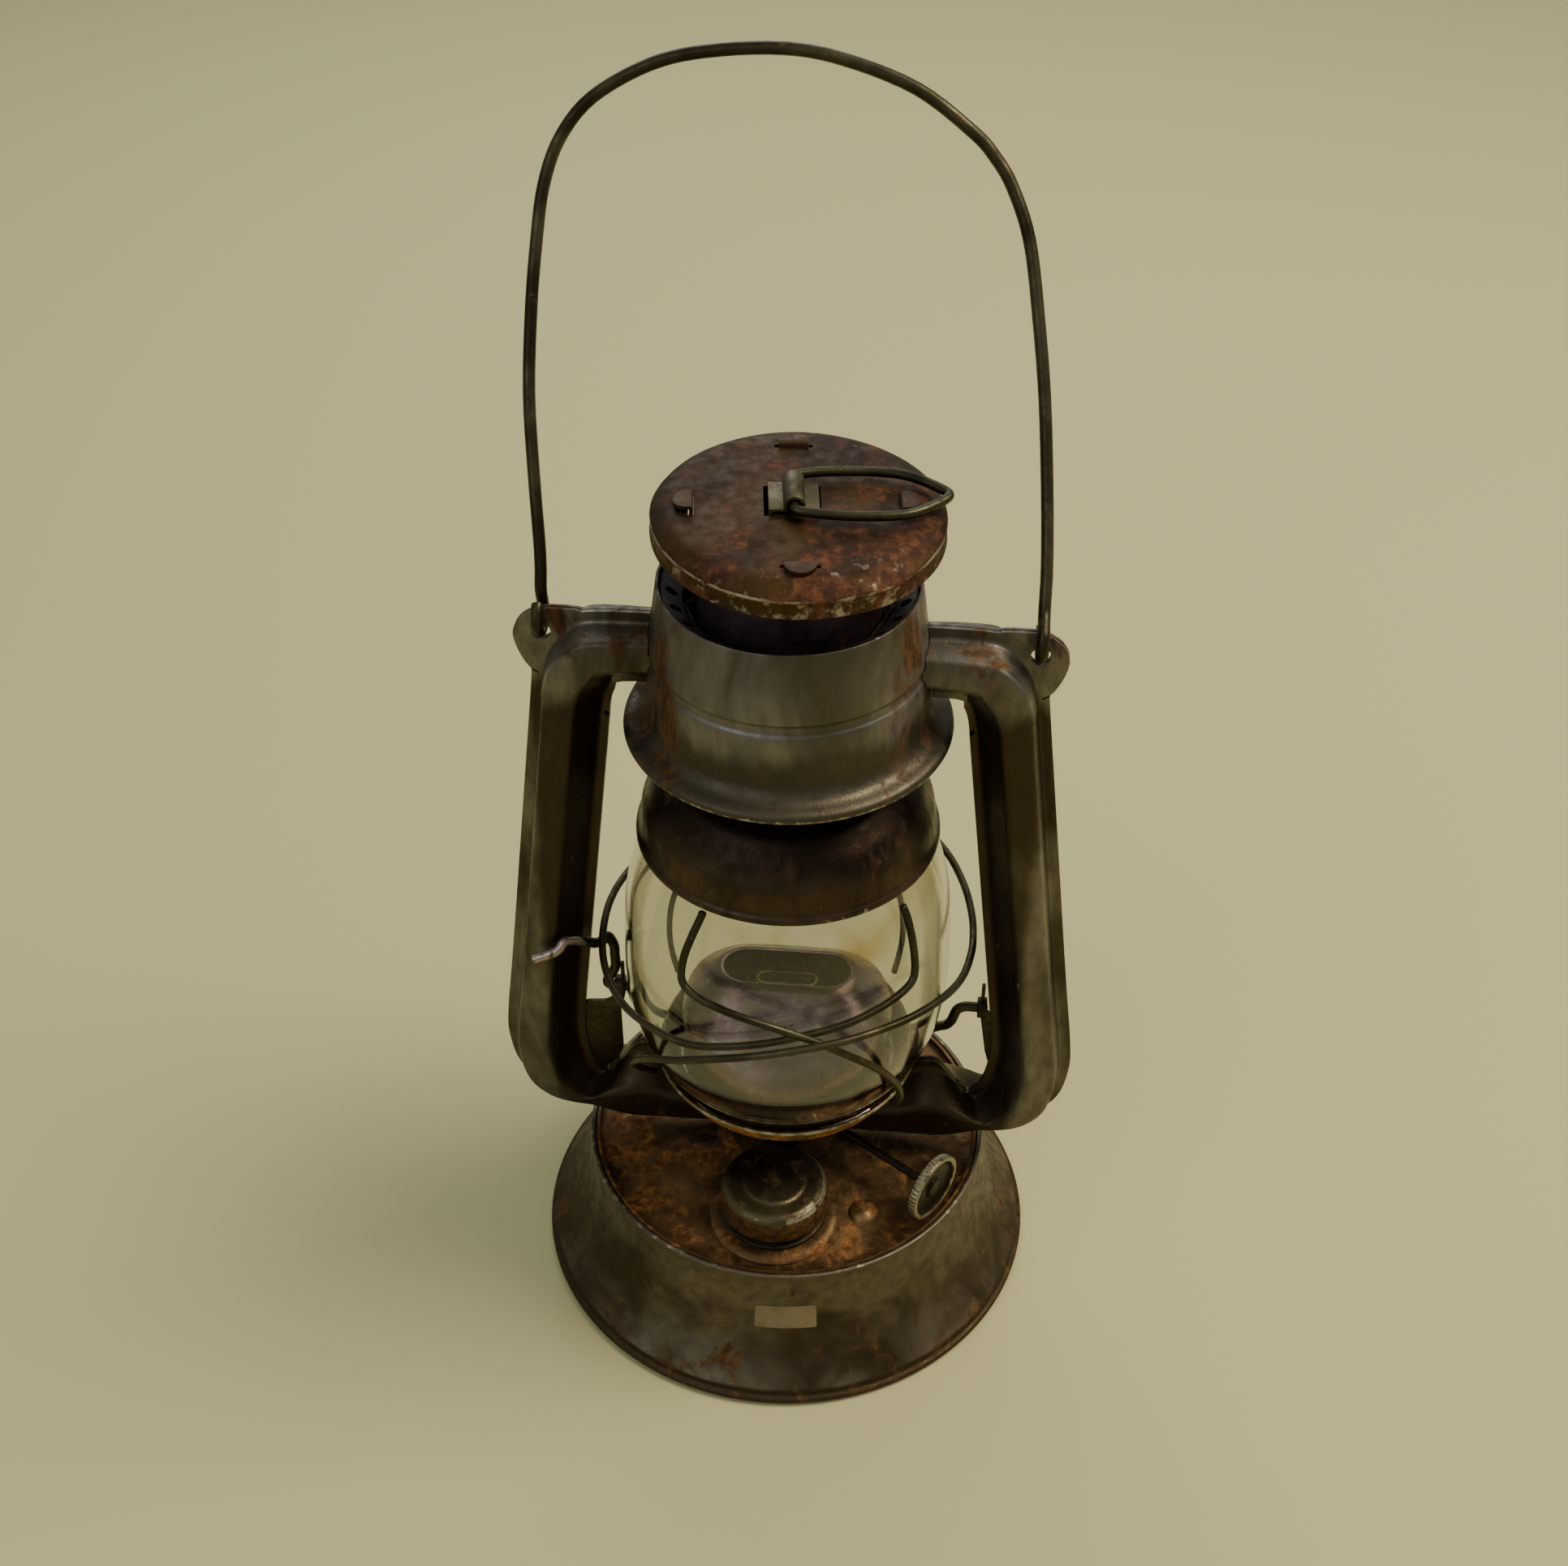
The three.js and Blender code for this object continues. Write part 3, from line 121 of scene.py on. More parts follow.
floor_mesh = bpy.data.meshes.new("floor")
corners = [(x * FLOOR_HALF, y * FLOOR_HALF, -FLOOR_DROP) for x, y in ((-1, -1), (1, -1), (1, 1), (-1, 1))]
floor_mesh.from_pydata(corners, [], [(0, 1, 2, 3)])
floor = placed("floor", floor_mesh)
paper, tree, _ = new_finish("cream_paper")
shader = add_node(tree, "BsdfPrincipled", {"Base Color": linear(PAPER_CREAM), "Roughness": 0.85})
add_node(tree, "OutputMaterial", {"Surface": shader.outputs[0]})
clad(floor, paper)
room = bpy.data.worlds.new("room")
bpy.context.scene.world = room
room.use_nodes = True
room.node_tree.nodes.clear()
glow = add_node(room.node_tree, "Background", {"Color": linear(ROOM_TINT), "Strength": ROOM_STRENGTH})
add_node(room.node_tree, "OutputWorld", {"Surface": glow.outputs[0]})
for name, at, side, watts, tint in LAMPS:
    lamp_data = bpy.data.lights.new(name, "AREA")
    lamp_data.size = side
    lamp_data.energy = watts
    lamp_data.color = linear(tint)[:3]
    aim = (Vector(LAMP_AIM) - Vector(at)).to_track_quat("-Z", "Y").to_matrix().to_4x4()
    placed(name, lamp_data).matrix_world = Matrix.Translation(at) @ aim

# Fount skirt: tinned sheet steel spun to a flare, its foot rolled round a wire and its top edge
# folded over the tank's top. The tin has gone dull olive, with brown rust in patches.
MM = 0.001
FOOT_R = 66
FOOT_BEAD = 1.5
RIM_R = 53
RIM_Z = 36
RIM_SHEET = 1.2
# Rust is porous and shines less than paint or plastic
RUST_SHINE = 0.25
RUST_ROUGH = 0.74
FRECKLES = 0.35
FOOT_SHARES = [(-1.3, 0), (-0.5, 0), (0, 0.6), (0, 1.3), (-0.9, 1.75)]
SKIRT_SHARES = [(0.68, 0.19), (0.34, 0.38), (0.13, 0.6), (0, 0.87), (0, 1)]


def mix(a, b, share):
    return a + (b - a) * share


def through(points, per_span):
    """A smooth curve through points of any number of coordinates."""
    made = []
    n = len(points)
    for i in range(n - 1):
        p1, p2 = points[i], points[i + 1]
        p0 = points[i - 1] if i else [2 * a - b for a, b in zip(p1, p2)]
        p3 = points[i + 2] if i < n - 2 else [2 * b - a for a, b in zip(p1, p2)]
        for t in (k / per_span for k in range(per_span)):
            made.append(tuple(
                0.5 * (2 * b + (c - a) * t + (2 * a - 5 * b + 4 * c - d) * t * t
                       + (3 * b - a - 3 * c + d) * t ** 3)
                for a, b, c, d in zip(p0, p1, p2, p3)
            ))
    made.append(tuple(points[-1]))
    return made


def eased(line, radius, closed=False, steps=3):
    """A line whose corners are rounded, as sheet metal bends; the radius is one or a list."""
    made = []
    n = len(line)
    sizes = radius if isinstance(radius, (list, tuple)) else [radius] * n
    for i, p in enumerate(line):
        if not closed and i in (0, n - 1):
            made.append(tuple(p))
            continue
        ends = []
        for q in (line[i - 1], line[(i + 1) % n]):
            length = max(math.dist(p, q), 1e-9)
            cut = min(sizes[i], length * 0.45) / length
            ends.append([mix(a, b, cut) for a, b in zip(p, q)])
        for k in range(steps + 1):
            t = k / steps
            made.append(tuple(
                (1 - t) ** 2 * a + 2 * t * (1 - t) * b + t * t * c for a, b, c in zip(ends[0], p, ends[1])
            ))
    return made


def beside(line, distance):
    """The line moved sideways, to the left of its direction: the other face of a sheet."""
    moved = []
    for i, p in enumerate(line):
        a, b = line[max(i - 1, 0)], line[min(i + 1, len(line) - 1)]
        ways = []
        for start, end in ((a, p), (p, b)):
            length = math.dist(start, end)
            if length > 1e-9:
                ways.append(((end[0] - start[0]) / length, (end[1] - start[1]) / length))
        across = (-sum(w[1] for w in ways), sum(w[0] for w in ways))
        size = math.hypot(*across)
        across = (across[0] / size, across[1] / size)
        reach = min(1 / max(across[1] * ways[0][0] - across[0] * ways[0][1], 0.5), 1.6)
        moved.append((p[0] + across[0] * distance * reach, p[1] + across[1] * distance * reach))
    return moved


def made(name, points, faces, crease=40):
    """A closed piece from points in mm, smooth but for edges sharper than the crease angle."""
    mesh = bpy.data.meshes.new(name)
    mesh.from_pydata([tuple(c * MM for c in p) for p in points], [], faces)
    work = bmesh.new()
    work.from_mesh(mesh)
    bmesh.ops.remove_doubles(work, verts=work.verts, dist=2e-7)
    bmesh.ops.dissolve_degenerate(work, edges=work.edges, dist=1e-7)
    bmesh.ops.recalc_face_normals(work, faces=work.faces)
    work.to_mesh(mesh)
    work.free()
    mesh.shade_smooth()
    mesh.set_sharp_from_angle(angle=math.radians(crease))
    return placed(name, mesh)


def turned(name, profile, steps=144, at=(0, 0), crease=40):
    """A piece of sheet or bar turned about an upright axis; the closed profile is [radius, height]."""
    points = []
    for i in range(steps):
        a = 2 * math.pi * i / steps
        points += [(at[0] + r * math.cos(a), at[1] + r * math.sin(a), z) for r, z in profile]
    n = len(profile)
    faces = [
        (i * n + j, (i + 1) % steps * n + j, (i + 1) % steps * n + (j + 1) % n, i * n + (j + 1) % n)
        for i in range(steps) for j in range(n)
        if profile[j][0] > 1e-9 or profile[(j + 1) % n][0] > 1e-9
    ]
    return made(name, points, faces, crease)


def aged_tin(name, colours, rust_share, zones=(), rough=(0.36, 0.6), rust_mm=7, streak=1, pit=0.12,
             seat=None):
    """Tinned sheet steel: the tin in two dull shades, worn bright in places and rusted in others.
    A zone is (measure, from mm, to mm, what, how much) and brings on rust, wear with painted highlight, or
    soot with painted shade there.
    The seat is the place of a piece whose zones are measured along its own axes."""
    grey, dull, bright, rust_dark, rust_light = [linear(c) for c in colours]
    material, tree, at = new_finish(name)
    if seat:
        place = {"Vector": at, "Location": seat.translation, "Rotation": seat.to_euler()}
        at = add_node(tree, "Mapping", place, vector_type="TEXTURE").outputs[0]
    parts = add_node(tree, "SeparateXYZ", {0: at})
    level = add_node(tree, "CombineXYZ", {0: parts.outputs[0], 1: parts.outputs[1]})
    radius = add_node(tree, "VectorMath", {0: level.outputs[0]}, operation="LENGTH")
    measures = dict(zip(("x", "y", "height"), parts.outputs), radius=radius.outputs["Value"])
    drawn = add_node(tree, "Mapping", {"Vector": at, "Scale": (1, 1, streak)}).outputs[0]
    # Patches of 22 mm, rust spots, mottling of 3 mm and pits of 0.7 mm, which are drawn about
    # twice as coarse as the real ones so that they show
    clouds, spots, mottle, pits, tones = [
        add_node(tree, "TexNoise", {
            "Vector": drawn, "Scale": 1 / (size * MM), "Detail": detail, "Roughness": 0.6, "Distortion": bend,
        }).outputs[0]
        for size, detail, bend in ((22, 3, 0.4), (rust_mm, 9, 0.6), (3, 6, 0), (0.7, 3, 0), (2.2, 5, 0.3))
    ]
    # Besides real soot and wear, the soot zones paint shade and the wear zones paint highlights into the
    # colour
    sums = {"rust": spots, "wear_and_highlight": mottle, "soot_and_shade": clouds}
    for measure, start, end, what, amount in zones:
        place = add_node(tree, "MapRange", {
            "Value": measures[measure], "From Min": start * MM, "From Max": end * MM, "To Max": amount,
        }, interpolation_type="SMOOTHSTEP")
        sums[what] = add_node(tree, "Math", {0: sums[what], 1: place.outputs[0]}).outputs[0]
    dulling_and_shade, rust, wear_and_highlight, grain, tone = [
        add_node(
            tree, "MapRange", {"Value": value, "From Min": low, "From Max": high},
            interpolation_type="SMOOTHSTEP",
        ).outputs[0]
        for value, low, high in (
            (sums["soot_and_shade"], 0.36, 0.68), (sums["rust"], 0.7 - rust_share * 0.4, 0.88 - rust_share * 0.4),
            (sums["wear_and_highlight"], 0.66, 0.82), (mottle, 0.3, 0.7), (tones, 0.36, 0.7),
        )
    ]
    freckles = add_node(tree, "Math", {0: grain, 1: FRECKLES}, operation="MULTIPLY").outputs[0]
    oxide = add_node(tree, "Mix", {0: tone, 6: rust_dark, 7: rust_light}, data_type="RGBA").outputs[2]
    colour = grey
    for share, over in ((dulling_and_shade, dull), (freckles, dull), (wear_and_highlight, bright), (rust, oxide)):
        colour = add_node(tree, "Mix", {0: share, 6: colour, 7: over}, data_type="RGBA").outputs[2]
    metallic = add_node(tree, "MapRange", {"Value": rust, "To Min": 0.85, "To Max": 0.2}).outputs[0]
    smooth = add_node(tree, "MapRange", {"Value": grain, "To Min": rough[0], "To Max": rough[1]})
    polish = add_node(tree, "MapRange", {"Value": wear_and_highlight, "To Min": 1, "To Max": 0.75})
    sheen = add_node(tree, "Math", {0: smooth.outputs[0], 1: polish.outputs[0]}, operation="MULTIPLY")
    roughness = add_node(tree, "Mix", {0: rust, 2: sheen.outputs[0], 3: RUST_ROUGH}).outputs[0]
    scale = add_node(tree, "Math", {0: rust, 1: pits}, operation="MULTIPLY")
    relief = add_node(tree, "Math", {0: scale.outputs[0], 1: 1.6, 2: pits}, operation="MULTIPLY_ADD")
    bump = add_node(tree, "Bump", {"Strength": 0.5, "Distance": pit * MM, "Height": relief.outputs[0]})
    shader = add_node(tree, "BsdfPrincipled", {
        "Base Color": colour, "Metallic": metallic, "Roughness": roughness, "Normal": bump.outputs[0],
        "Specular IOR Level": RUST_SHINE,
    })
    add_node(tree, "OutputMaterial", {"Surface": shader.outputs[0]})
    return material


skirt_line = through(
    [(FOOT_R - FOOT_BEAD / 2, FOOT_BEAD * 2)]
    + [(mix(RIM_R, FOOT_R, out), RIM_Z * up) for out, up in SKIRT_SHARES], 5,
)
foot_line = [(FOOT_R + FOOT_BEAD * out, FOOT_BEAD * up) for out, up in FOOT_SHARES]
skirt = turned("fount_skirt_sheet", eased(
    foot_line + skirt_line[1:] + beside(skirt_line, RIM_SHEET)[::-1], 0.5, True,
))
# Dull olive tin with a greyer band under the rim and rust creeping up from the foot
# The darker left side and the dark line just above the foot bead are painted shade, and the bright line round
# the rim is partly wear and partly painted highlight
clad(skirt, aged_tin(
    "dull_tinned_skirt", ("#686050", "#3E3323", "#A0977C", "#3B270F", "#62431D"), 0.34,
    [("height", 20, 30, "soot_and_shade", -0.2), ("height", 14, 5, "rust", 0.07), ("height", 35, 35.8, "wear_and_highlight", 0.13),
     ("height", 34, 30, "wear_and_highlight", -0.1), ("x", -20, -60, "soot_and_shade", 0.16), ("height", 4.4, 3, "soot_and_shade", 0.4)],
))
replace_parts(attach(skirt, "frame"), "fount_skirt")

# Label: a small blank slip of gummed paper, yellowed, stuck on the front of the skirt.
LABEL_FROM = -94.1
LABEL_TO = -76.6
LABEL_LOW = 18.6
LABEL_HIGH = 25.3
LABEL_STEPS = (28, 8)
LABEL_CORNER = 0.14
LABEL_FACES = (0.02, 0.16)
LABEL_CURL = 0.12
PAPER_YELLOWED = "#7C6C4B"
PAPER_STAIN = "#64532F"


def out_at(line, height):
    """How far out a line of [out, up] is at a height."""
    for (r0, z0), (r1, z1) in zip(line, line[1:]):
        if (z0 - height) * (z1 - height) <= 0 and z0 != z1:
            return mix(r0, r1, (height - z0) / (z1 - z0))
    return line[-1][0]


slip = []
for lift, curl in zip(LABEL_FACES, (0, LABEL_CURL)):
    for i in range(LABEL_STEPS[0] + 1):
        a = math.radians(mix(LABEL_FROM, LABEL_TO, i / LABEL_STEPS[0]))
        for j in range(LABEL_STEPS[1] + 1):
            z = mix(LABEL_LOW, LABEL_HIGH, j / LABEL_STEPS[1])
            corner = i in (0, LABEL_STEPS[0]) and j in (0, LABEL_STEPS[1])
            if corner:
                z = mix(z, (LABEL_LOW + LABEL_HIGH) / 2, LABEL_CORNER)
                a = mix(a, math.radians((LABEL_FROM + LABEL_TO) / 2), LABEL_CORNER * 0.4)
            r = out_at(skirt_line, z) + lift + (curl if corner else 0)
            slip.append((r * math.cos(a), r * math.sin(a), z + lift * 0.3))
rows = LABEL_STEPS[1] + 1
side = (LABEL_STEPS[0] + 1) * rows
slip_faces = []
for i in range(LABEL_STEPS[0]):
    for j in range(LABEL_STEPS[1]):
        a = i * rows + j
        slip_faces += [(a, a + rows, a + rows + 1, a + 1)]
        slip_faces += [(side + a, side + a + 1, side + a + rows + 1, side + a + rows)]
edge = [i * rows for i in range(LABEL_STEPS[0] + 1)]
edge += [LABEL_STEPS[0] * rows + j for j in range(1, rows)]
edge += [i * rows + rows - 1 for i in range(LABEL_STEPS[0] - 1, -1, -1)]
edge += [j for j in range(rows - 2, 0, -1)]
for a, b in zip(edge, edge[1:] + edge[:1]):
    slip_faces.append((a, b, side + b, side + a))
label = made("paper_label", slip, slip_faces)
# Uncoated paper: matt, with a soft stain and a fibre grain of 0.4 mm
gummed, tree, at = new_finish("yellowed_gummed_paper")
stain = add_node(tree, "TexNoise", {"Vector": at, "Scale": 1 / (5 * MM), "Detail": 6})
fibre = add_node(tree, "TexNoise", {"Vector": at, "Scale": 1 / (0.4 * MM), "Detail": 2})
spread = add_node(tree, "MapRange", {"Value": stain.outputs[0], "From Min": 0.45, "From Max": 0.75})
shades = {0: spread.outputs[0], 6: linear(PAPER_YELLOWED), 7: linear(PAPER_STAIN)}
colour = add_node(tree, "Mix", shades, data_type="RGBA")
bump = add_node(tree, "Bump", {"Strength": 0.3, "Distance": 0.05 * MM, "Height": fibre.outputs[0]})
shader = add_node(tree, "BsdfPrincipled", {
    "Base Color": colour.outputs[2], "Roughness": 0.9, "Normal": bump.outputs[0],
})
add_node(tree, "OutputMaterial", {"Surface": shader.outputs[0]})
clad(label, gummed)
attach(label, "frame")

# Fount pan: the sheet steel bottom of the tank, its edge turned up and soldered in the skirt.
PAN_Z = 5
PAN_RISE = 1.9
SHEET = 0.8
GAP = 0.3
pan_r = out_at(skirt_line, PAN_Z + PAN_RISE) - RIM_SHEET - GAP
pan_line = [(0, PAN_Z), (pan_r - PAN_RISE * 2, PAN_Z), (pan_r, PAN_Z + PAN_RISE)]
pan_line = [pan_line[0]] + eased(pan_line, 1.5)[1:]
pan = turned("fount_pan_sheet", pan_line + [(max(r, 0), z) for r, z in beside(pan_line, SHEET)][::-1])
# Underside tin that has kept more of its grey, with rust from standing in the wet
clad(pan, aged_tin(
    "rusty_tinned_pan", ("#565043", "#3A3326", "#7E7863", "#302010", "#5B3D1E"), 0.5,
))
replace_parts(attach(pan, "frame"), "fount_pan")

# Fount top: a domed plate of tinned steel with a turned-up wall inside the rim, a raised boss
# for the filler and a small pressed bump. Oil and water have left it brown with rust.
WELL_R = RIM_R - RIM_SHEET - GAP
WALL_IN_R = WELL_R - SHEET
TOP_Z = 33.2
TOP_DOME = 1.8
BURNER_HOLE_R = 11.2
TOP_SHARES = [(0, 1), (0.33, 0.6), (0.94, 0), (1, 0.33)]
BUMP_R = 4.4
BUMP_H = 2.4
BUMP_SHARES = [(0, 1), (0.36, 0.92), (0.77, 0.54), (1, 0)]
BUMP_AT = 36.7
BUMP_DEGREES = -51.6
FILLER_AT = (-0.6, -30.55)
BOSS_R = 15.4
BOSS_TOP_Z = 34.7
FILLER_HOLE_R = 10.1


def uneven(piece, depth, spread):
    """Moves the surface a little in and out, in mm, as knocks and use leave thin sheet."""
    for v in piece.data.vertices:
        v.co += v.co.normalized() * noise.noise(v.co / (spread * MM)) * depth * MM
    return piece


def joined(piece, *others):
    """One object from several shells that touch, such as parts soldered together."""
    work = bmesh.new()
    for each in (piece, *others):
        work.from_mesh(each.data)
    work.to_mesh(piece.data)
    work.free()
    piece.data.shade_smooth()
    piece.data.set_sharp_from_angle(angle=math.radians(40))
    for each in others:
        bpy.data.objects.remove(each)
    return piece


def cut(piece, cutter, crease=40):
    """Cuts one solid out of another for good."""
    tool = piece.modifiers.new("cut", "BOOLEAN")
    tool.operation = "DIFFERENCE"
    tool.solver = "EXACT"
    tool.object = cutter
    bpy.context.view_layer.update()
    graph = bpy.context.evaluated_depsgraph_get()
    shape = bpy.data.meshes.new_from_object(piece.evaluated_get(graph))
    piece.modifiers.clear()
    piece.data = shape
    shape.shade_smooth()
    shape.set_sharp_from_angle(angle=math.radians(crease))
    bpy.data.objects.remove(cutter)
    return piece


def drill(radius, low, high, steps=96, at=(0, 0)):
    """An upright bar that cuts a round hole."""
    return turned("drill", [(0, low), (radius, low), (radius, high), (0, high)], steps, at)


def both_faces(line, thickness):
    """The closed outline of a sheet that has this line as one face."""
    return line + beside(line, thickness)[::-1]


top_line = [(mix(BURNER_HOLE_R, WALL_IN_R, out), TOP_Z + TOP_DOME * up) for out, up in TOP_SHARES]
top_line = eased(top_line + [(WALL_IN_R, RIM_Z - SHEET / 2)], 2.2)
top = turned("fount_top_sheet", both_faces(top_line, -SHEET))
top = cut(top, drill(FILLER_HOLE_R, 0, 60, at=FILLER_AT))
boss = turned("boss", eased([
    (FILLER_HOLE_R, TOP_Z - SHEET / 2), (BOSS_R + 1.6, TOP_Z - SHEET / 2), (BOSS_R + 1.6, TOP_Z + 0.5),
    (BOSS_R, BOSS_TOP_Z), (FILLER_HOLE_R, BOSS_TOP_Z),
], 0.9, True), 96, FILLER_AT)
bump_at = [BUMP_AT * f(math.radians(BUMP_DEGREES)) for f in (math.cos, math.sin)]
bump_line = through([(BUMP_R * out, TOP_Z + SHEET / 2 + BUMP_H * up) for out, up in BUMP_SHARES], 5)
knob_bump = turned("bump", [*bump_line, (0, TOP_Z + SHEET / 2)], 48, bump_at)
top = joined(uneven(top, 0.25, 14), boss, knob_bump)
# Brown rust over nearly all of the plate, with painted shade darkening it by the wall, and darker towards the
# right
clad(top, aged_tin(
    "rusted_fount_top", ("#92764E", "#5E472E", "#A8936C", "#533216", "#9A6830"), 0.5,
    [("radius", 44, 49, "soot_and_shade", 0.22), ("x", 0, 30, "soot_and_shade", 0.14), ("x", -5, -35, "rust", 0.1)],
    rough=(0.3, 0.55), rust_mm=9,
))
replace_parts(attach(top, "frame"), "fount_top")

# Filler neck: a short tube of steel with a foot ring, soldered on the boss.
NECK_R = 11.4
NECK_WALL = 1.6
NECK_FOOT_R = 13.4
NECK_FOOT_Z = 35.0
NECK_TOP_Z = 43.3
neck = turned("filler_neck_tube", eased([
    (NECK_R - NECK_WALL, NECK_FOOT_Z), (NECK_FOOT_R, NECK_FOOT_Z), (NECK_FOOT_R, NECK_FOOT_Z + SHEET),
    (NECK_R, NECK_FOOT_Z + SHEET * 1.5), (NECK_R, NECK_TOP_Z), (NECK_R - NECK_WALL, NECK_TOP_Z),
], 0.3, True), 96, FILLER_AT)
# Steel kept from the air by the cap: darker and smoother, with little rust
neck_steel = aged_tin("dark_neck_steel", ("#56503F", "#352E20", "#857E66", "#2A1B10", "#543719"), 0.25)
clad(neck, neck_steel)
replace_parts(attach(neck, "frame"), "filler_neck")

# Filler cap: pressed from dark oxidised steel in steps, with a flat crown and a plain skirt that
# screws over the neck. A cork washer lies in it.
CAP_R = 13.8
CAP_IN_R = 12.2
CAP_CEILING_Z = 45.0
CAP_FOOT_Z = 38.2
CAP_CROWN = 2.4
CAP_SHARES = [(1, -0.58), (0.957, 0.17), (0.855, 0.58), (0.61, 0.63), (0.55, 0.83), (0, 1)]
cap_line = [(0, CAP_CEILING_Z), (CAP_IN_R, CAP_CEILING_Z), (CAP_IN_R, CAP_FOOT_Z), (CAP_R, CAP_FOOT_Z)]
cap_line += [(CAP_R * out, CAP_CEILING_Z + CAP_CROWN * up) for out, up in CAP_SHARES]
cap = turned("filler_cap_pressing", eased(cap_line, 0.7), 128, FILLER_AT)
# Olive brown oxide, rusty down the side; the bright line round its edge is partly wear and partly painted
# highlight, brightest at the right
clad(cap, aged_tin(
    "oxidised_cap_steel", ("#5F573F", "#39301F", "#A8A086", "#38240F", "#62421F"), 0.4,
    [("height", 44.8, 45.1, "wear_and_highlight", 0.08), ("height", 45.7, 46.1, "wear_and_highlight", -0.4), ("x", 0, 9, "wear_and_highlight", 0.3),
     ("height", 44.9, 44.2, "rust", 0.24), ("height", 44.6, 44.0, "wear_and_highlight", -0.3)],
    rough=(0.28, 0.5), rust_mm=5,
))
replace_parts(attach(cap, "filler_cap"), "filler_cap")
# Cork: matt brown, in grains of 1.5 mm
cork, tree, at = new_finish("oil_soaked_cork")
grains = add_node(tree, "TexVoronoi", {"Vector": at, "Scale": 1 / (1.5 * MM)})
shades = {0: grains.outputs["Distance"], 6: linear("#7A5A3C"), 7: linear("#3E2A1A")}
colour = add_node(tree, "Mix", shades, data_type="RGBA")
bump = add_node(tree, "Bump", {"Strength": 0.4, "Distance": 0.1 * MM, "Height": grains.outputs[0]})
shader = add_node(tree, "BsdfPrincipled", {
    "Base Color": colour.outputs[2], "Roughness": 0.88, "Normal": bump.outputs[0],
})
add_node(tree, "OutputMaterial", {"Surface": shader.outputs[0]})
clad(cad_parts["filler_washer"], cork)

# Burner: a brass collar soldered on the tank, the cast brass body that screws into it and the
# flat drawn wick tube, all dulled brown by heat and oil.
COLLAR_PROFILE = [(11.2, 35.3), (14.4, 35.3), (14.4, 36.3), (13.4, 36.9), (13.4, 40.6), (11.2, 40.6)]
BRASS_DULL = "#7A6336"
BRASS_DARK = "#3B2F1C"
BRASS_WORN = "#B4975A"
collar = turned("burner_collar_ring", eased(COLLAR_PROFILE, 0.3, True), 96)
# Brass keeps a yellow cast under its brown film, and shines a little where it is touched
dull_brass = aged_tin(
    "tarnished_brass", (BRASS_DULL, BRASS_DARK, BRASS_WORN, "#2E2214", "#5B4423"), 0.2, rough=(0.34, 0.58),
)
clad(collar, dull_brass)
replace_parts(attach(collar, "frame"), "burner_collar")
# The shaft is steel, black with oil
shaft_steel = aged_tin("oiled_shaft_steel", ("#30291D", "#1B160E", "#5E553F", "#22160C", "#3E2814"), 0.3)
for name in ("burner_body", "wick_tube", "wick_wheel"):
    clad(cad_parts[name], dull_brass)
clad(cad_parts["wick_shaft"], shaft_steel)

# Wick: flat woven cotton braid in the wick tube, its top end burnt black and a little frayed.
WICK_W = 13.2
WICK_D = 2.0
WICK_TOP = 89.9
WICK_LENGTH = 76
WICK_RIBS = 8
WICK_RIB_DEPTH = 0.16
WICK_CHAR = 4
WICK_STEPS = 60
WICK_FRAY = 0.5
EDGE_STEPS = 32


def wick_ring(z, rag):
    """The braid's outline at a height: ribbed along both faces and thin at the edges."""
    ring = []
    for i in range(EDGE_STEPS * 2):
        front = i < EDGE_STEPS
        along = (i % EDGE_STEPS) / EDGE_STEPS
        x = WICK_W / 2 * (1 - 2 * along) * (1 if front else -1)
        end = min(1, (1 - abs(2 * along - 1)) * 6)
        rib = WICK_RIB_DEPTH * math.cos(2 * math.pi * WICK_RIBS * along)
        y = (WICK_D / 2 - WICK_RIB_DEPTH + rib) * math.sqrt(max(end, 0.12)) * (1 if front else -1)
        lift = rag * noise.noise(Vector((x * 1.7, y * 2, 3.1)))
        ring.append((x, y, z + lift))
    return ring


def skinned(name, rings, shut=False, crease=40):
    """A skin over rings of equal length, shut into a loop or capped at both ends."""
    n = len(rings[0])
    faces = []
    last = len(rings) if shut else len(rings) - 1
    for i in range(last):
        for j in range(n):
            a, b = i * n, (i + 1) % len(rings) * n
            faces.append((a + j, a + (j + 1) % n, b + (j + 1) % n, b + j))
    if not shut:
        faces += [tuple(range(n)), tuple((len(rings) - 1) * n + j for j in range(n))]
    return made(name, [p for ring in rings for p in ring], faces, crease)


wick = skinned("wick_braid", [
    wick_ring(
        WICK_TOP - WICK_LENGTH * (1 - k / WICK_STEPS) - (0.6 if k == WICK_STEPS else 0),
        WICK_FRAY * (k / WICK_STEPS) ** 12,
    )
    for k in range(WICK_STEPS + 1)
])
# Cotton: matt, in ribs with a weave of 0.9 mm, oily brown and burnt black for the top 4 mm
cotton, tree, at = new_finish("oily_cotton_braid")
weave = add_node(
    tree, "TexWave", {"Vector": at, "Scale": 1 / (0.9 * MM) / 3.1, "Distortion": 1.5},
    bands_direction="Z",
)
height = add_node(tree, "SeparateXYZ", {0: at})
char = add_node(tree, "MapRange", {
    "Value": height.outputs[2],
    "From Min": (WICK_TOP - WICK_CHAR * 1.5) * MM, "From Max": (WICK_TOP - 1) * MM,
})
shades = {0: weave.outputs[1], 6: linear("#4E4130"), 7: linear("#8B7A5C")}
thread = add_node(tree, "Mix", shades, data_type="RGBA")
shades = {0: char.outputs[0], 6: thread.outputs[2], 7: linear("#14110E")}
colour = add_node(tree, "Mix", shades, data_type="RGBA")
bump = add_node(tree, "Bump", {"Strength": 0.7, "Distance": 0.2 * MM, "Height": weave.outputs[1]})
shader = add_node(tree, "BsdfPrincipled", {
    "Base Color": colour.outputs[2], "Roughness": 0.95, "Normal": bump.outputs[0],
})
add_node(tree, "OutputMaterial", {"Surface": shader.outputs[0]})
clad(wick, cotton)
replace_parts(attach(wick, "wick"), "wick")

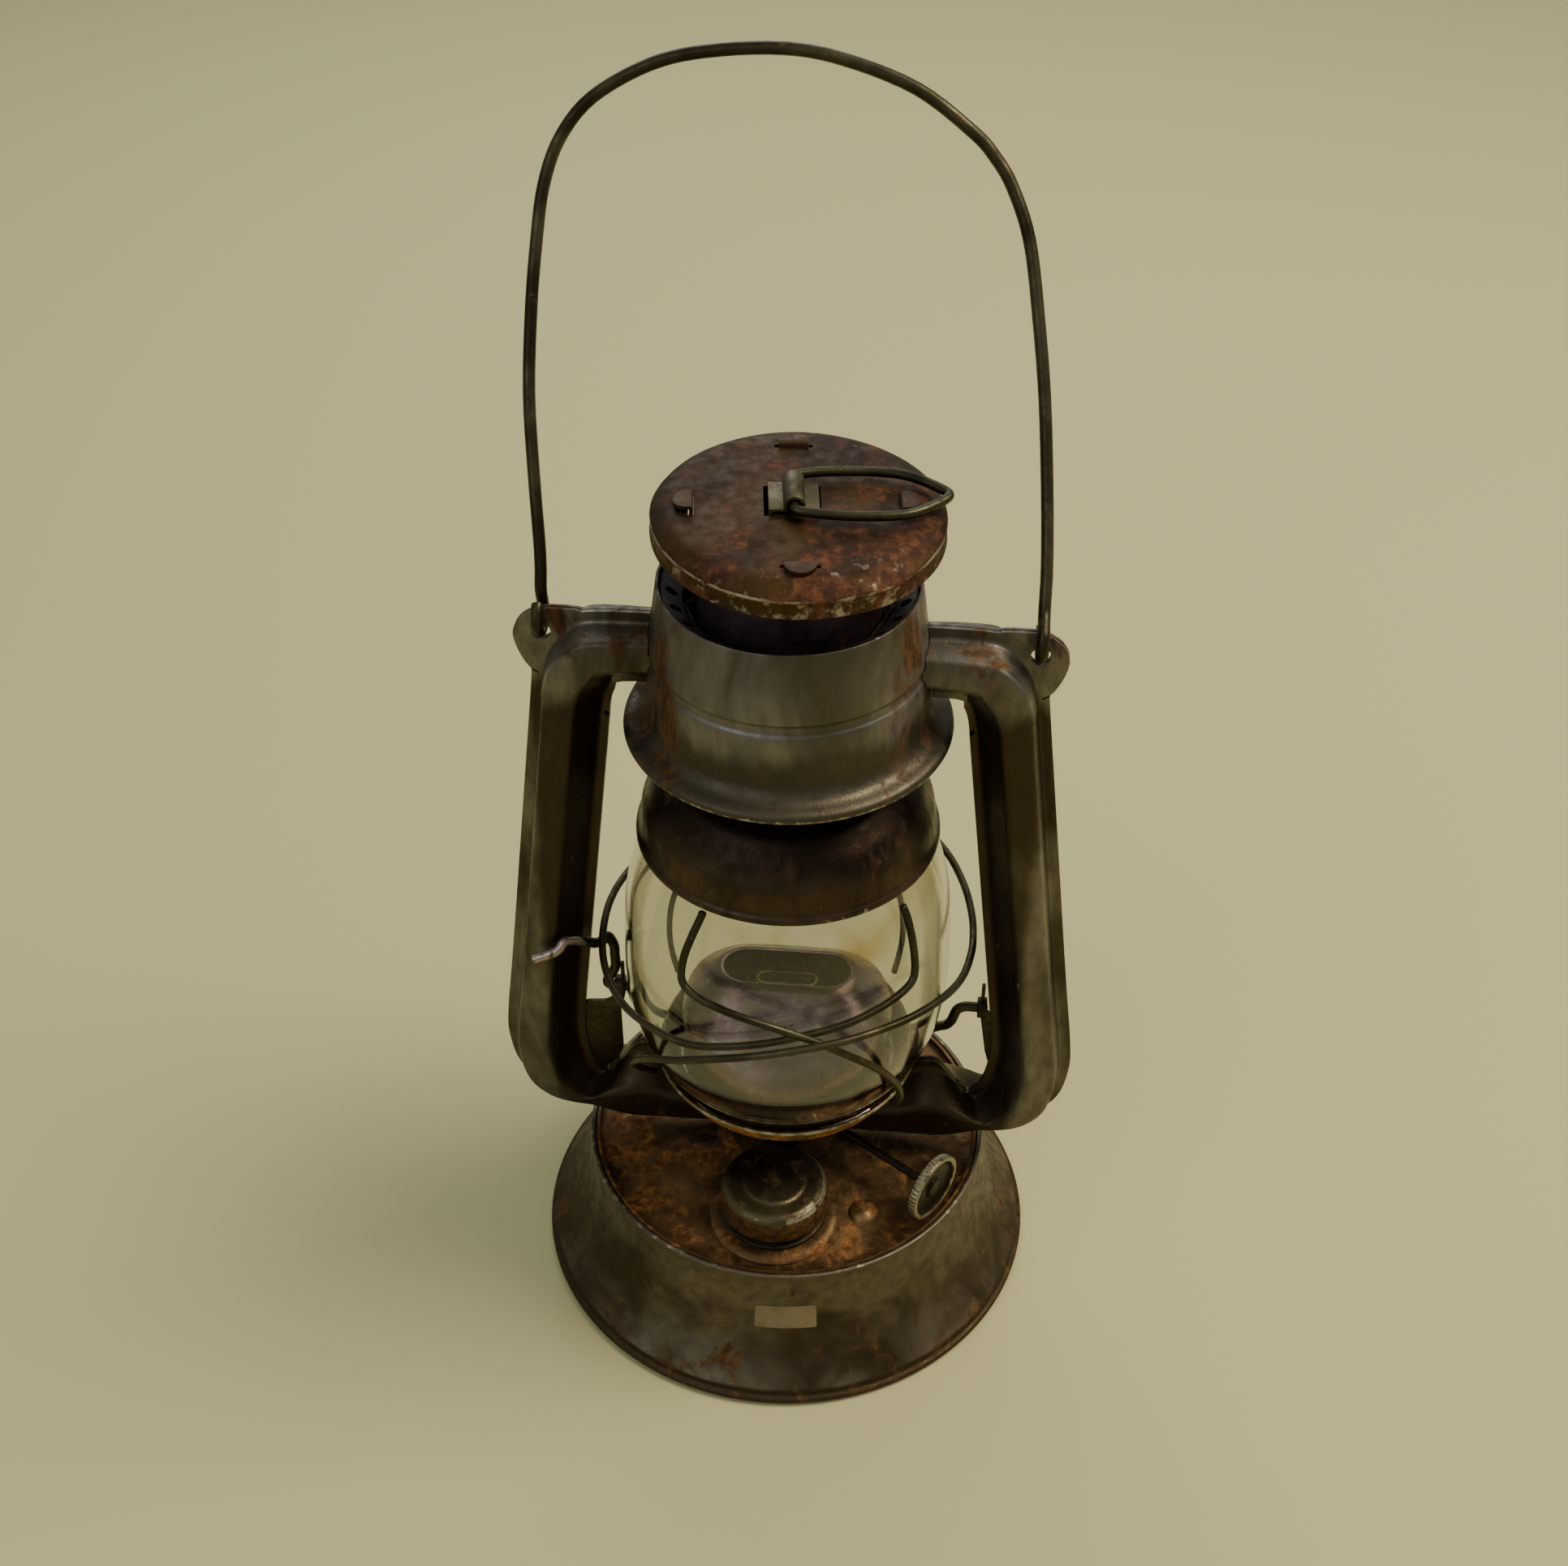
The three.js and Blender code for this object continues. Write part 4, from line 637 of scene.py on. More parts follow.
# Hand wheel of the wick: a dished steel wheel with a milled rim, pressed on the end of the shaft.
KNOB_R = 9.2
KNOB_HALF_W = 1.3
KNOB_AT = 48.6
SHAFT_Z = 44.9
SHAFT_DEGREES = -34.8
KNOB_TEETH = 48
KNOB_TOOTH = 0.22
KNOB_SHARES = [
    (0, -1), (0.26, -1), (0.28, -0.3), (0.76, -0.3), (0.85, -0.94), (0.96, -1), (1, -0.62),
    (1, 0.62), (0.96, 1), (0.85, 0.94), (0.76, 0.1), (0.3, 0.1), (0.26, 0.7), (0, 0.75),
]
knob_line = eased([(KNOB_R * out, KNOB_HALF_W * along) for out, along in KNOB_SHARES], 0.45)
knob = turned("wick_hand_wheel", knob_line, KNOB_TEETH * 6)
shaft_seat = Matrix.Translation((0, 0, SHAFT_Z * MM)) @ spun(SHAFT_DEGREES, "Z") @ spun(90, "Y")
knob_seat = shaft_seat @ Matrix.Translation((0, 0, KNOB_AT * MM))
for v in knob.data.vertices:
    r = math.hypot(v.co.x, v.co.y) / MM
    if r > KNOB_R * 0.99:
        notch = math.cos(KNOB_TEETH * math.atan2(v.co.y, v.co.x))
        v.co.xy *= 1 - KNOB_TOOTH / r * (0.5 - 0.5 * notch)
    v.co = knob_seat @ v.co
# Nickelled steel worn grey: the rim is brighter, partly wear and partly painted highlight, and the dark dish
# is painted shade
clad(knob, aged_tin(
    "worn_and_shaded_wheel_steel", ("#4E4634", "#221B10", "#8E866C", "#2C1C10", "#54381C"), 0.1,
    [("radius", 8.0, 7.0, "soot_and_shade", 0.5), ("radius", 7.3, 8.2, "wear_and_highlight", 0.34),
     ("radius", 6.6, 6.0, "wear_and_highlight", -0.3)],
    rough=(0.3, 0.5), rust_mm=4, seat=knob_seat,
))
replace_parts(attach(knob, "wick_drive"), "wick_knob")

# Globe: clear blown glass, widest a little under its middle, with ground foot and neck edges.
GLOBE_R = 40.6
GLOBE_H = 94.8
GLOBE_Z = 61.8
GLASS = 1.6
GLOBE_SHARES = [
    (0.719, 0), (0.783, 0.065), (0.862, 0.118), (0.951, 0.209), (1, 0.34), (0.998, 0.508),
    (0.961, 0.667), (0.852, 0.821), (0.744, 0.899), (0.7, 1),
]
globe_line = through([(GLOBE_R * out, GLOBE_Z + GLOBE_H * up) for out, up in GLOBE_SHARES], 12)
globe = turned("globe_glass", both_faces(globe_line, GLASS), 256, crease=80)
# Soda glass: clear with a faint green cast, and a thin brown film of smoke in soft patches
glass, tree, at = new_finish("clear_soda_glass")
smoke = add_node(tree, "TexNoise", {"Vector": at, "Scale": 1 / (24 * MM), "Detail": 4})
film = add_node(tree, "MapRange", {"Value": smoke.outputs[0], "From Min": 0.58, "From Max": 0.75})
shades = {0: film.outputs[0], 6: linear("#E9EAE4"), 7: linear("#CDB583")}
colour = add_node(tree, "Mix", shades, data_type="RGBA")
rough = add_node(tree, "MapRange", {
    "Value": smoke.outputs[0], "From Min": 0.6, "From Max": 0.8, "To Max": 0.12,
})
shader = add_node(tree, "BsdfPrincipled", {
    "Base Color": colour.outputs[2], "Roughness": rough.outputs[0], "IOR": 1.5, "Transmission Weight": 1,
})
add_node(tree, "OutputMaterial", {"Surface": shader.outputs[0]})
clad(globe, glass)
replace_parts(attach(globe, "globe_carrier"), "globe")

# Globe plate: a steel dish with a turned-out rim, which rises with the globe on it. It has
# rusted orange brown inside, while its rim is rubbed grey.
PLATE_Z = 60.7
PLATE_H = 7
PLATE_HOLE_R = 16.6
PLATE_FLOOR_R = 30.0
PLATE_R = 34.2
plate_line = eased([
    (PLATE_HOLE_R, PLATE_Z), (PLATE_FLOOR_R, PLATE_Z), (PLATE_R - SHEET, PLATE_Z + PLATE_H - GAP),
    (PLATE_R, PLATE_Z + PLATE_H),
], 1.4)
plate = turned("globe_plate_dish", eased(both_faces(plate_line, SHEET), 0.35, True))
clad(plate, aged_tin(
    "rusted_globe_plate", ("#8A724A", "#5E462C", "#A8A084", "#75481E", "#B97C3C"), 0.85,
    [("height", 65.5, 67.3, "rust", -0.25), ("height", 66.6, 67.6, "wear_and_highlight", 0.22)],
))
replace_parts(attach(plate, "globe_carrier"), "globe_plate")

# Flame cone: thin steel drawn from a round foot up to a roof that slopes evenly to an oblong
# slot along the wick.
CONE_Z = 61.8
CONE_H = 31.1
CONE_FOOT_R = 26.4
SLOT_HALF = (17.2, 6.8)
CONE_WALL = 0.8
CONE_COUNT = 96
CONE_R = 27.2
CONE_BAND = 3.5
ROOF_DROP = 18
ROOF_SPREAD = 1.15
ROOF_STEPS = 14
SHOULDER = 16


def oblong(half_length, half_width, z):
    """A ring that is round at the ends and flat along the sides, kept within the cone's wall."""
    ring = []
    for i in range(CONE_COUNT):
        a = 2 * math.pi * (i + 0.5) / CONE_COUNT
        c = half_length - half_width
        flat = half_width / abs(math.sin(a))
        end = c * abs(math.cos(a)) + math.sqrt(max(half_width ** 2 - (c * math.sin(a)) ** 2, 0))
        reach = flat if abs(flat * math.cos(a)) <= c else end
        reach *= (1 + (reach / CONE_R) ** SHOULDER) ** (-1 / SHOULDER)
        ring.append((reach * math.cos(a), reach * math.sin(a), z))
    return ring


cone_rows = [(CONE_FOOT_R, CONE_FOOT_R, CONE_Z), (CONE_FOOT_R, CONE_FOOT_R, CONE_Z + CONE_BAND)]
for step in range(ROOF_STEPS, -1, -1):
    drop = ROOF_DROP * step / ROOF_STEPS
    spread = ROOF_SPREAD * drop
    cone_rows.append((SLOT_HALF[0] + spread, SLOT_HALF[1] + spread, CONE_Z + CONE_H - drop))
outer = [oblong(length, width, z) for length, width, z in cone_rows]
inner = [oblong(length - CONE_WALL, width - CONE_WALL, z) for length, width, z in cone_rows]
cone = skinned("flame_cone_sheet", outer + inner[::-1], True, 50)
# Heat-tinted tin: mauve grey and smoother than the rest, sooty round the slot
heat_tint = aged_tin(
    "heat_tinted_cone", ("#9C8686", "#6E5A57", "#CFC0BC", "#52300F", "#7E4E1C"), -0.5,
    [("height", 89, 93, "soot_and_shade", 0.25), ("height", 70, 64, "rust", 0.6), ("height", 0, 1, "wear_and_highlight", -0.3)],
    rough=(0.22, 0.4), pit=0,
)
# The inside is brown with rust, and shows through the slot
clad(cone, heat_tint, aged_tin(
    "rusted_cone_inside", ("#9A5A38", "#5A3822", "#7E6A50", "#7E4220", "#B4683A"), 1, rough=(0.45, 0.65),
))
for face in cone.data.polygons:
    if face.normal.xy.dot(face.center.xy) < 0:
        face.material_index = 1
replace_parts(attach(cone, "globe_carrier"), "flame_cone")

# Air chamber: the tinned drum under the globe plate that the two lower arms blow into.
CHAMBER_R = 15.8
CHAMBER_LINE = [(CHAMBER_R, 35.3), (CHAMBER_R, 56.6), (17.4, 58.3), (24.6, 59.6)]
SHAFT_WAY_R = 1.7
chamber_line = eased(CHAMBER_LINE, 1.6)
chamber = turned("air_chamber_drum", both_faces(chamber_line, SHEET))
shaft_way = drill(SHAFT_WAY_R, 0, 30, 32)
shaft_way.data.transform(shaft_seat)
chamber = cut(chamber, shaft_way)
clad(chamber, aged_tin(
    "stained_chamber_tin", ("#5A4F3A", "#352A1A", "#837A60", "#2E1D0F", "#57391B"), 0.42,
))
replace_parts(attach(chamber, "frame"), "air_chamber")

# Guard wires: tinned iron wire bent round the globe. One swings round the left with its ends up
# under the bell. One goes round the right, and its feet and those of two struts are soldered to
# the plate.
GUARD_WIRE_R = 0.95
GUARD_REACH = 6.8
LEFT_GUARD_SHARES = [
    (-40, 0.808, 0.29), (-39, 0.762, 0.28), (-39, 0.677, 0.28), (-40, 0.603, 0.28), (-45, 0.578, 0.28),
    (-54, 0.563, 0.28), (-66, 0.546, 0.28), (-78, 0.532, 0.28), (-91, 0.504, 0.28), (-104, 0.47, 0.29),
    (-117, 0.432, 0.32), (-128, 0.422, 0.44), (-138, 0.418, 0.56), (-147, 0.416, 0.68), (-157, 0.42, 0.76),
    (-168, 0.435, 0.82), (-180, 0.456, 0.82), (-192, 0.47, 0.82), (-205, 0.481, 0.74), (-220, 0.487, 0.59),
    (-236, 0.494, 0.43), (-252, 0.502, 0.31), (-269, 0.519, 0.28), (-285, 0.54, 0.28), (-300, 0.559, 0.28),
    (-311, 0.574, 0.28), (-319, 0.603, 0.28), (-321, 0.677, 0.28), (-321, 0.762, 0.28), (-320, 0.808, 0.29),
]
RIGHT_GUARD_SHARES = [
    (-151, 0.093, 0.5), (-148, 0.15, 0.71), (-142, 0.234, 0.91), (-136, 0.302, 1), (-128, 0.363, 1),
    (-119, 0.411, 1), (-110, 0.454, 1), (-94, 0.508, 1), (-79, 0.537, 1), (-66, 0.546, 1), (-50, 0.544, 1),
    (-35, 0.527, 0.97), (-22, 0.504, 0.91), (-10, 0.492, 0.84),
]
STRUT_SHARES = [
    (-117.5, 0.828, 0.26), (-118, 0.806, 0.32), (-119, 0.766, 0.47), (-120, 0.709, 0.59),
    (-119, 0.652, 0.65), (-113, 0.624, 0.65),
    (-101, 0.605, 0.65), (-86, 0.57, 0.65), (-77, 0.532, 0.65), (-70, 0.489, 0.65), (-57, 0.386, 0.65),
    (-49, 0.287, 0.65), (-44, 0.192, 0.59), (-41, 0.129, 0.53), (-39, 0.091, 0.44),
]
WIRE_ENDS = ((0, 0.5), (0.12, 0.8), (0.4, 1))
WIRE_OLIVE = "#544E3A"
WIRE_DARK = "#2C2618"


def bent_wire(name, points, radius, sides=14, per_span=4):
    """A round wire along a smooth curve through the points, its cut ends slightly eased."""
    line = [Vector(p) for p in through(points, per_span)]
    across = None
    rings = []
    for i, p in enumerate(line):
        ahead = (line[min(i + 1, len(line) - 1)] - line[max(i - 1, 0)]).normalized()
        if across is None:
            across = ahead.orthogonal().normalized()
        across = (across - ahead * across.dot(ahead)).normalized()
        over = ahead.cross(across)
        sizes = [(0, 1)]
        if i == 0:
            sizes = WIRE_ENDS
        if i == len(line) - 1:
            sizes = [(-shift, size) for shift, size in WIRE_ENDS[::-1]]
        for shift, size in sizes:
            middle = p + ahead * shift * radius
            rings.append([
                tuple(middle + (across * math.cos(a) + over * math.sin(a)) * radius * size)
                for a in (2 * math.pi * k / sides for k in range(sides))
            ])
    return skinned(name, rings, False, 60)


def mirrored(rows):
    """The same wire at the back of the globe."""
    return [(-turn, up, away) for turn, up, away in rows][::-1]


def guard_points(rows):
    """Points from rows of [degrees round the globe, share of its height, share of the reach]."""
    points = []
    for degrees, up, away in rows:
        z = GLOBE_Z + GLOBE_H * up
        r = out_at(globe_line, z) + GUARD_REACH * away
        points.append((r * math.cos(math.radians(degrees)), r * math.sin(math.radians(degrees)), z))
    return points


# Iron wire: its thin tin is olive grey, with fine brown rust in 3 mm specks
iron_wire = aged_tin(
    "tinned_iron_wire", (WIRE_OLIVE, WIRE_DARK, "#9A9276", "#2E2012", "#57391C"), 0.3,
    rough=(0.3, 0.5), rust_mm=4,
)
for name, rows in (
    ("guard_left", LEFT_GUARD_SHARES),
    ("guard_right", RIGHT_GUARD_SHARES + [(0, 0.487, 0.82)] + mirrored(RIGHT_GUARD_SHARES)),
    ("guard_strut_front", STRUT_SHARES),
    ("guard_strut_back", mirrored(STRUT_SHARES)),
):
    guard = bent_wire(name + "_wire", guard_points(rows), GUARD_WIRE_R)
    clad(guard, iron_wire)
    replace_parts(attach(guard, "globe_carrier"), name)

# Lift lever: one iron wire through both knuckles, its bow under the plate and its finger end
# bent up and out over the left tube, where hands have worn it pale.
LEVER_WIRE_R = 1.3
TUBE_IN_X = 53
PIVOT_Z = 83
BOW_R = 28
BOW_Z = 58.35
FINGER_REACH = 12.6
LEVER_LEFT_SHARES = [
    (-1.176, -1, 1.782), (-1.148, -0.98, 1.813), (-1.079, -0.94, 1.87), (-1.05, -0.87, 1.908),
    (-1.033, -0.79, 1.956), (-1, -0.67, 1.928), (-0.965, -0.54, 1.868), (-0.937, -0.41, 1.794),
    (-0.912, -0.3, 1.728), (-0.88, -0.21, 1.722), (-0.861, -0.14, 1.752), (-0.846, -0.1, 1.709),
    (-0.832, -0.06, 1.583), (-0.832, -0.05, 1.466), (-0.834, -0.02, 1.283), (-0.86, -0.01, 1.146),
    (-0.879, 0, 1.057), (-0.872, 0, 1.004), (-0.845, 0, 1), (-0.792, 0, 1), (-0.773, 0.02, 0.968),
    (-0.762, 0.08, 0.858), (-0.749, 0.24, 0.615), (-0.713, 0.52, 0.332), (-0.645, 0.84, 0.117),
    (-0.558, 0.98, 0.02),
]
LEVER_RIGHT_SHARES = [
    (0.558, 0.98, 0.02), (0.634, 0.87, 0.126), (0.698, 0.65, 0.296), (0.743, 0.43, 0.457),
    (0.781, 0.21, 0.607), (0.802, 0.08, 0.741), (0.811, 0.03, 0.838), (0.826, 0.01, 0.943),
    (0.86, 0, 0.996), (0.906, 0, 1), (0.97, 0, 1),
]
BOW_DEGREES = (148, 134, 119, 104, 90, 76, 61, 46, 32)
bow = [(BOW_R * math.cos(math.radians(d)), BOW_R * math.sin(math.radians(d)), BOW_Z) for d in BOW_DEGREES]
ends = [
    [(TUBE_IN_X * x, FINGER_REACH * y, mix(BOW_Z, PIVOT_Z, z)) for x, y, z in rows]
    for rows in (LEVER_LEFT_SHARES, LEVER_RIGHT_SHARES)
]
lever = bent_wire("lift_lever_wire", ends[0] + bow + ends[1], LEVER_WIRE_R, 18)
# The same wire, rubbed to a pale pinkish grey at the finger end
clad(lever, aged_tin(
    "handled_iron_wire", (WIRE_OLIVE, WIRE_DARK, "#A8958A", "#2E1E12", "#5E3C20"), 0.34,
    [("y", -6, -9, "wear_and_highlight", 0.35)], rough=(0.3, 0.5), rust_mm=4,
))
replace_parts(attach(lever, "lift_lever"), "lift_lever")

# Crown: one spun piece of tinned steel with a turned-down brim, a bead round its middle and a
# tapered collar on top. Its tin is the greyest on the lantern, with rust running down both sides.
BRIM_Z = 171.8
CROWN_H = 38.7
CROWN_R = 31.7
CROWN_TOP_R = 29.2
CROWN_TOP_Z = 210.5
BRIM_OUT = 6.3
CROWN_SHARES = [
    (0.9, 0), (1, 0.026), (0.9, 0.062), (0.4, 0.085), (0.11, 0.145), (0, 0.48), (-0.13, 0.503),
    (-0.13, 0.548), (-0.03, 0.574),
]
crown_points = [(CROWN_R + BRIM_OUT * out, BRIM_Z + CROWN_H * up) for out, up in CROWN_SHARES]
crown_points.append((CROWN_TOP_R, CROWN_TOP_Z))
crown_line = eased(crown_points, 1.3, steps=4)
crown = turned("crown_spinning", eased(both_faces(crown_line, SHEET), 0.3, True), 168)
TUBE_PORT_W = 11
port_z = mix(BRIM_Z, CROWN_TOP_Z, 0.495)
half = TUBE_PORT_W / 2
port = skinned("port", [
    [(x, -half, port_z - half), (x, half, port_z - half), (x, half, port_z + half), (x, -half, port_z + half)]
    for x in (-45, 45)
])
crown = cut(crown, port)
# The lower body is darkened toward the brim as painted shade, and the bright lines at the brim's edge and the
# top edge are partly wear and partly painted highlight
clad(crown, aged_tin(
    "grey_tinned_crown", ("#7A7670", "#4C4639", "#B4AB90", "#372412", "#5F401F"), 0.22,
    [("x", -15, -27, "rust", 0.2), ("x", 19, 28, "rust", 0.16), ("height", 173.4, 172.4, "wear_and_highlight", 0.16),
     ("height", 209.6, 210.4, "wear_and_highlight", 0.14), ("height", 173.6, 175, "wear_and_highlight", -0.12),
     ("height", 188, 176, "soot_and_shade", 0.46), ("height", 173.4, 172.2, "wear_and_highlight", 0.1)],
    rough=(0.36, 0.56), rust_mm=9, streak=0.35,
))
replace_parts(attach(crown, "frame"), "crown")

# Crown floor: a flat ring of sheet steel inside the crown, which holds the chimney upright.
CROWN_FLOOR_PROFILE = [(21.2, 179.3), (29.9, 179.3), (29.9, 180.1), (21.2, 180.1)]
crown_floor = turned("crown_floor_ring", eased(CROWN_FLOOR_PROFILE, 0.25, True))
sooty_sheet = aged_tin(
    "sooty_inner_tin", ("#5C4A4C", "#3D3036", "#80767A", "#3E2920", "#5E3F2C"), 0.3, rough=(0.45, 0.7),
)
clad(crown_floor, sooty_sheet)
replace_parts(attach(crown_floor, "frame"), "crown_floor")

# Draught ring: a sloping ring of sheet inside the crown's top edge, punched with a row of holes
# that let the hot air through. Smoke has turned it nearly black.
RING_IN_R = 23.3
RING_OUT_R = 28.1
RING_FOOT_Z = 205.5
RING_RISE = 3.1
RING_SHEET = 0.88
RING_HOLES = 24
RING_HOLE_R = 1.3
draught = turned("draught_ring_punched", eased([
    (RING_IN_R, RING_FOOT_Z), (RING_OUT_R, RING_FOOT_Z + RING_RISE),
    (RING_OUT_R, RING_FOOT_Z + RING_RISE + RING_SHEET), (RING_IN_R, RING_FOOT_Z + RING_SHEET),
], 0.25, True), 120)
punch_r = (RING_IN_R + RING_OUT_R) / 2
punches = []
for i in range(RING_HOLES):
    a = 2 * math.pi * (i + 0.5) / RING_HOLES
    punches.append(drill(RING_HOLE_R, 195, 220, 20, (punch_r * math.cos(a), punch_r * math.sin(a))))
draught = cut(draught, joined(*punches))
# Smoked steel: brown black and half matt
clad(draught, aged_tin(
    "smoked_ring_steel", ("#5E5550", "#3A3238", "#8A847C", "#3A2822", "#5E4230"), 0.24, rough=(0.4, 0.62),
))
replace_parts(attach(draught, "frame"), "draught_ring")

# Bell: the spun cap that presses the globe down, with a rolled lip. It is dark from the smoke,
# and its lip is rubbed bright.
BELL_Z = 141
BELL_TOP_Z = 161.8
BELL_NECK = 21.6
BELL_RIM = 35.4
BELL_LIP = 0.9
GLOBE_TOP_Z = 156.6
GLOBE_NECK_R = 28.4
bell_line = eased([
    (BELL_RIM + BELL_LIP, BELL_Z), (BELL_RIM + BELL_LIP, BELL_Z + BELL_LIP * 1.4),
    (BELL_RIM, BELL_Z + BELL_LIP * 2.4), (mix(BELL_NECK, BELL_RIM, 0.944), mix(BELL_Z, BELL_TOP_Z, 0.413)),
    (GLOBE_NECK_R + BELL_LIP * 3.8, GLOBE_TOP_Z - BELL_LIP * 1.8),
    (GLOBE_NECK_R - BELL_LIP * 1.1, GLOBE_TOP_Z + BELL_LIP * 2.9), (BELL_NECK, BELL_TOP_Z),
], 1.5)
bell = turned("bell_spinning", eased(both_faces(bell_line, SHEET), 0.3, True))
clad(bell, aged_tin(
    "smoked_bell_tin", ("#4E4030", "#2B2118", "#8E866C", "#301C12", "#52331C"), 0.36,
    [("height", 143.2, 141.3, "wear_and_highlight", 0.1), ("height", 150, 157, "soot_and_shade", 0.15)],
    rough=(0.3, 0.52), streak=0.5,
))
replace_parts(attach(bell, "hood_unit"), "bell")

# Chimney: a rolled tube of sheet from the bell to the hood, black inside, with a collar that a
# coil spring presses down so that the bell grips the globe.
CHIMNEY_R = 20.4
CHIMNEY_IN_R = 19.6
CHIMNEY_FOOT_Z = 158.8
CHIMNEY_HEAD_Z = 222.1
SEAT_R = 24.8
SEAT_Z = 180.4
chimney = turned("chimney_tube", eased([
    (CHIMNEY_IN_R, CHIMNEY_FOOT_Z), (CHIMNEY_R, CHIMNEY_FOOT_Z), (CHIMNEY_R, SEAT_Z), (SEAT_R, SEAT_Z),
    (SEAT_R, SEAT_Z + SHEET), (CHIMNEY_R, SEAT_Z + SHEET), (CHIMNEY_R, CHIMNEY_HEAD_Z),
    (CHIMNEY_IN_R, CHIMNEY_HEAD_Z),
], 0.3, True), 120)
clad(chimney, sooty_sheet)
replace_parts(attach(chimney, "hood_unit"), "chimney")
clad(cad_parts["chimney_spring"], iron_wire)

# Hood: a shallow pressed lid that sits a little turned, off centre and out of level. Its flat
# top is brown with rust, and the thin bright line round its rim is partly wear and partly painted highlight.
HOOD_R = 31.6
HOOD_H = 7.6
HOOD_AT = (1.7, 2.1, 221.7)
HOOD_BACK = 2.7
HOOD_RIGHT = 1.3
HOOD_TURN = 6.5
HOOD_SHARES = [
    (1.012, 0), (1, 0.14), (0.994, 0.42), (1.01, 0.5), (1, 0.58), (0.955, 0.73), (0.87, 0.9), (0, 1),
]
LEG_R = 21.85
LEG_SHEET = 0.9
LEG_LEAN = (1.4, 1.1)
SLOT_W = 8.4
SLOT_PLAY = (0.4, 0.75)
STRAP_SLOTS = ((-7.6, -5.5), (2.9, 4.6))
STRAP_SLOT_W = 11.2
lean = spun(HOOD_RIGHT, "Y") @ spun(HOOD_BACK, "X") @ spun(HOOD_TURN, "Z")
lean = Matrix.Translation(Vector(HOOD_AT) * MM) @ lean


def block(name, low, high):
    """A square bar between two corners in mm, for cutting a slot."""
    (x0, y0, z0), (x1, y1, z1) = low, high
    return skinned(name, [[(x0, y0, z), (x1, y0, z), (x1, y1, z), (x0, y1, z)] for z in (z0, z1)])


hood_points = [(HOOD_R * out, HOOD_H * up) for out, up in HOOD_SHARES]
hood_line = eased(hood_points, [0, 1, 0.5, 0.3, 0.4, 1.4, 1.8, 0], steps=4)
hood_line = hood_line[:-1] + [(r, HOOD_H * mix(0.9, 1, 1 - r / (HOOD_R * 0.87))) for r in (24, 20, 15, 10, 5)]
hood_line.append((0, HOOD_H))
under = [(max(r, 0), z) for r, z in beside(hood_line, SHEET)]
hood = uneven(turned("hood_lid", hood_line + under[::-1], 160), 0.3, 16)
hood.data.transform(lean)
slot_low = (LEG_R + LEG_SHEET / 2 - SLOT_PLAY[0], -SLOT_W / 2, 200)
slot_high = (LEG_R + LEG_SHEET / 2 + SLOT_PLAY[1], SLOT_W / 2, 250)
for i in range(4):
    way = block("slot", slot_low, slot_high)
    shift = Matrix.Translation((LEG_LEAN[0] * MM, LEG_LEAN[1] * MM, 0))
    way.data.transform(shift @ spun(90 * i + HOOD_TURN, "Z"))
    hood = cut(hood, way)
for x0, x1 in STRAP_SLOTS:
    way = block("slot", (x0, -STRAP_SLOT_W / 2, HOOD_H - 4), (x1, STRAP_SLOT_W / 2, HOOD_H + 4))
    way.data.transform(lean)
    hood = cut(hood, way)
# The left side is darkened as painted shade
clad(hood, aged_tin(
    "rusted_hood_lid", ("#4A3820", "#2C1D10", "#9C8F78", "#341B0C", "#633A1E"), 0.44,
    [("x", 0, 26, "rust", 0.07), ("y", -4, -24, "rust", 0.1), ("x", -10, -28, "soot_and_shade", 0.1),
     ("height", 3.5, 3.7, "wear_and_highlight", 0.2), ("height", 4.1, 4.4, "wear_and_highlight", -0.32), ("radius", 23, 26, "wear_and_highlight", 0.08),
     ("y", -8, -20, "wear_and_highlight", 0.1), ("x", -2, 12, "wear_and_highlight", 0.09), ("height", 3.4, 2.6, "wear_and_highlight", -0.04),
     ("x", 18, 24, "wear_and_highlight", -0.08), ("height", 3.4, 2.8, "rust", -0.04)],
    rough=(0.44, 0.66), rust_mm=8, seat=lean,
))
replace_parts(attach(hood, "hood_unit"), "hood")

# Hood legs: four strips of sheet whose feet are soldered to the chimney. They rise through the
# hood's slots, and each one's wide round end is bent over outside as a tab.
LEG_W = 5
LEG_TAB = 3.3
LEG_FOOT_Z = 208.0
TAB_WIDE = 6.8
TAB_LONG = 3.9
TAB_DIP = 0.3
FOOT_LONG = 4.5
TAB_STEPS = (0.1, 0.3, 0.5, 0.68, 0.82, 0.92, 0.98, 1)


def hood_top(x, y):
    """The height of the hood's top at a place, with its lean."""
    r = math.hypot(x - HOOD_AT[0], y - HOOD_AT[1])
    up = out_at([(z, out) for out, z in hood_points[1:]], r)
    back = (y - HOOD_AT[1]) * math.tan(math.radians(HOOD_BACK))
    return HOOD_AT[2] + up + back - (x - HOOD_AT[0]) * math.tan(math.radians(HOOD_RIGHT))


def strip_rings(path, thickness):
    """Rings across a strip of sheet that follows a centre line of [out, up, width]."""
    rings = []
    for i, (x, z, width) in enumerate(path):
        a, b = path[max(i - 1, 0)], path[min(i + 1, len(path) - 1)]
        half = thickness / 2 / math.dist(a[:2], b[:2])
        nx, nz = (a[1] - b[1]) * half, (b[0] - a[0]) * half
        rings.append([
            (x + nx, -width / 2, z + nz), (x + nx, width / 2, z + nz), (x - nx, width / 2, z - nz),
            (x - nx, -width / 2, z - nz),
        ])
    return rings


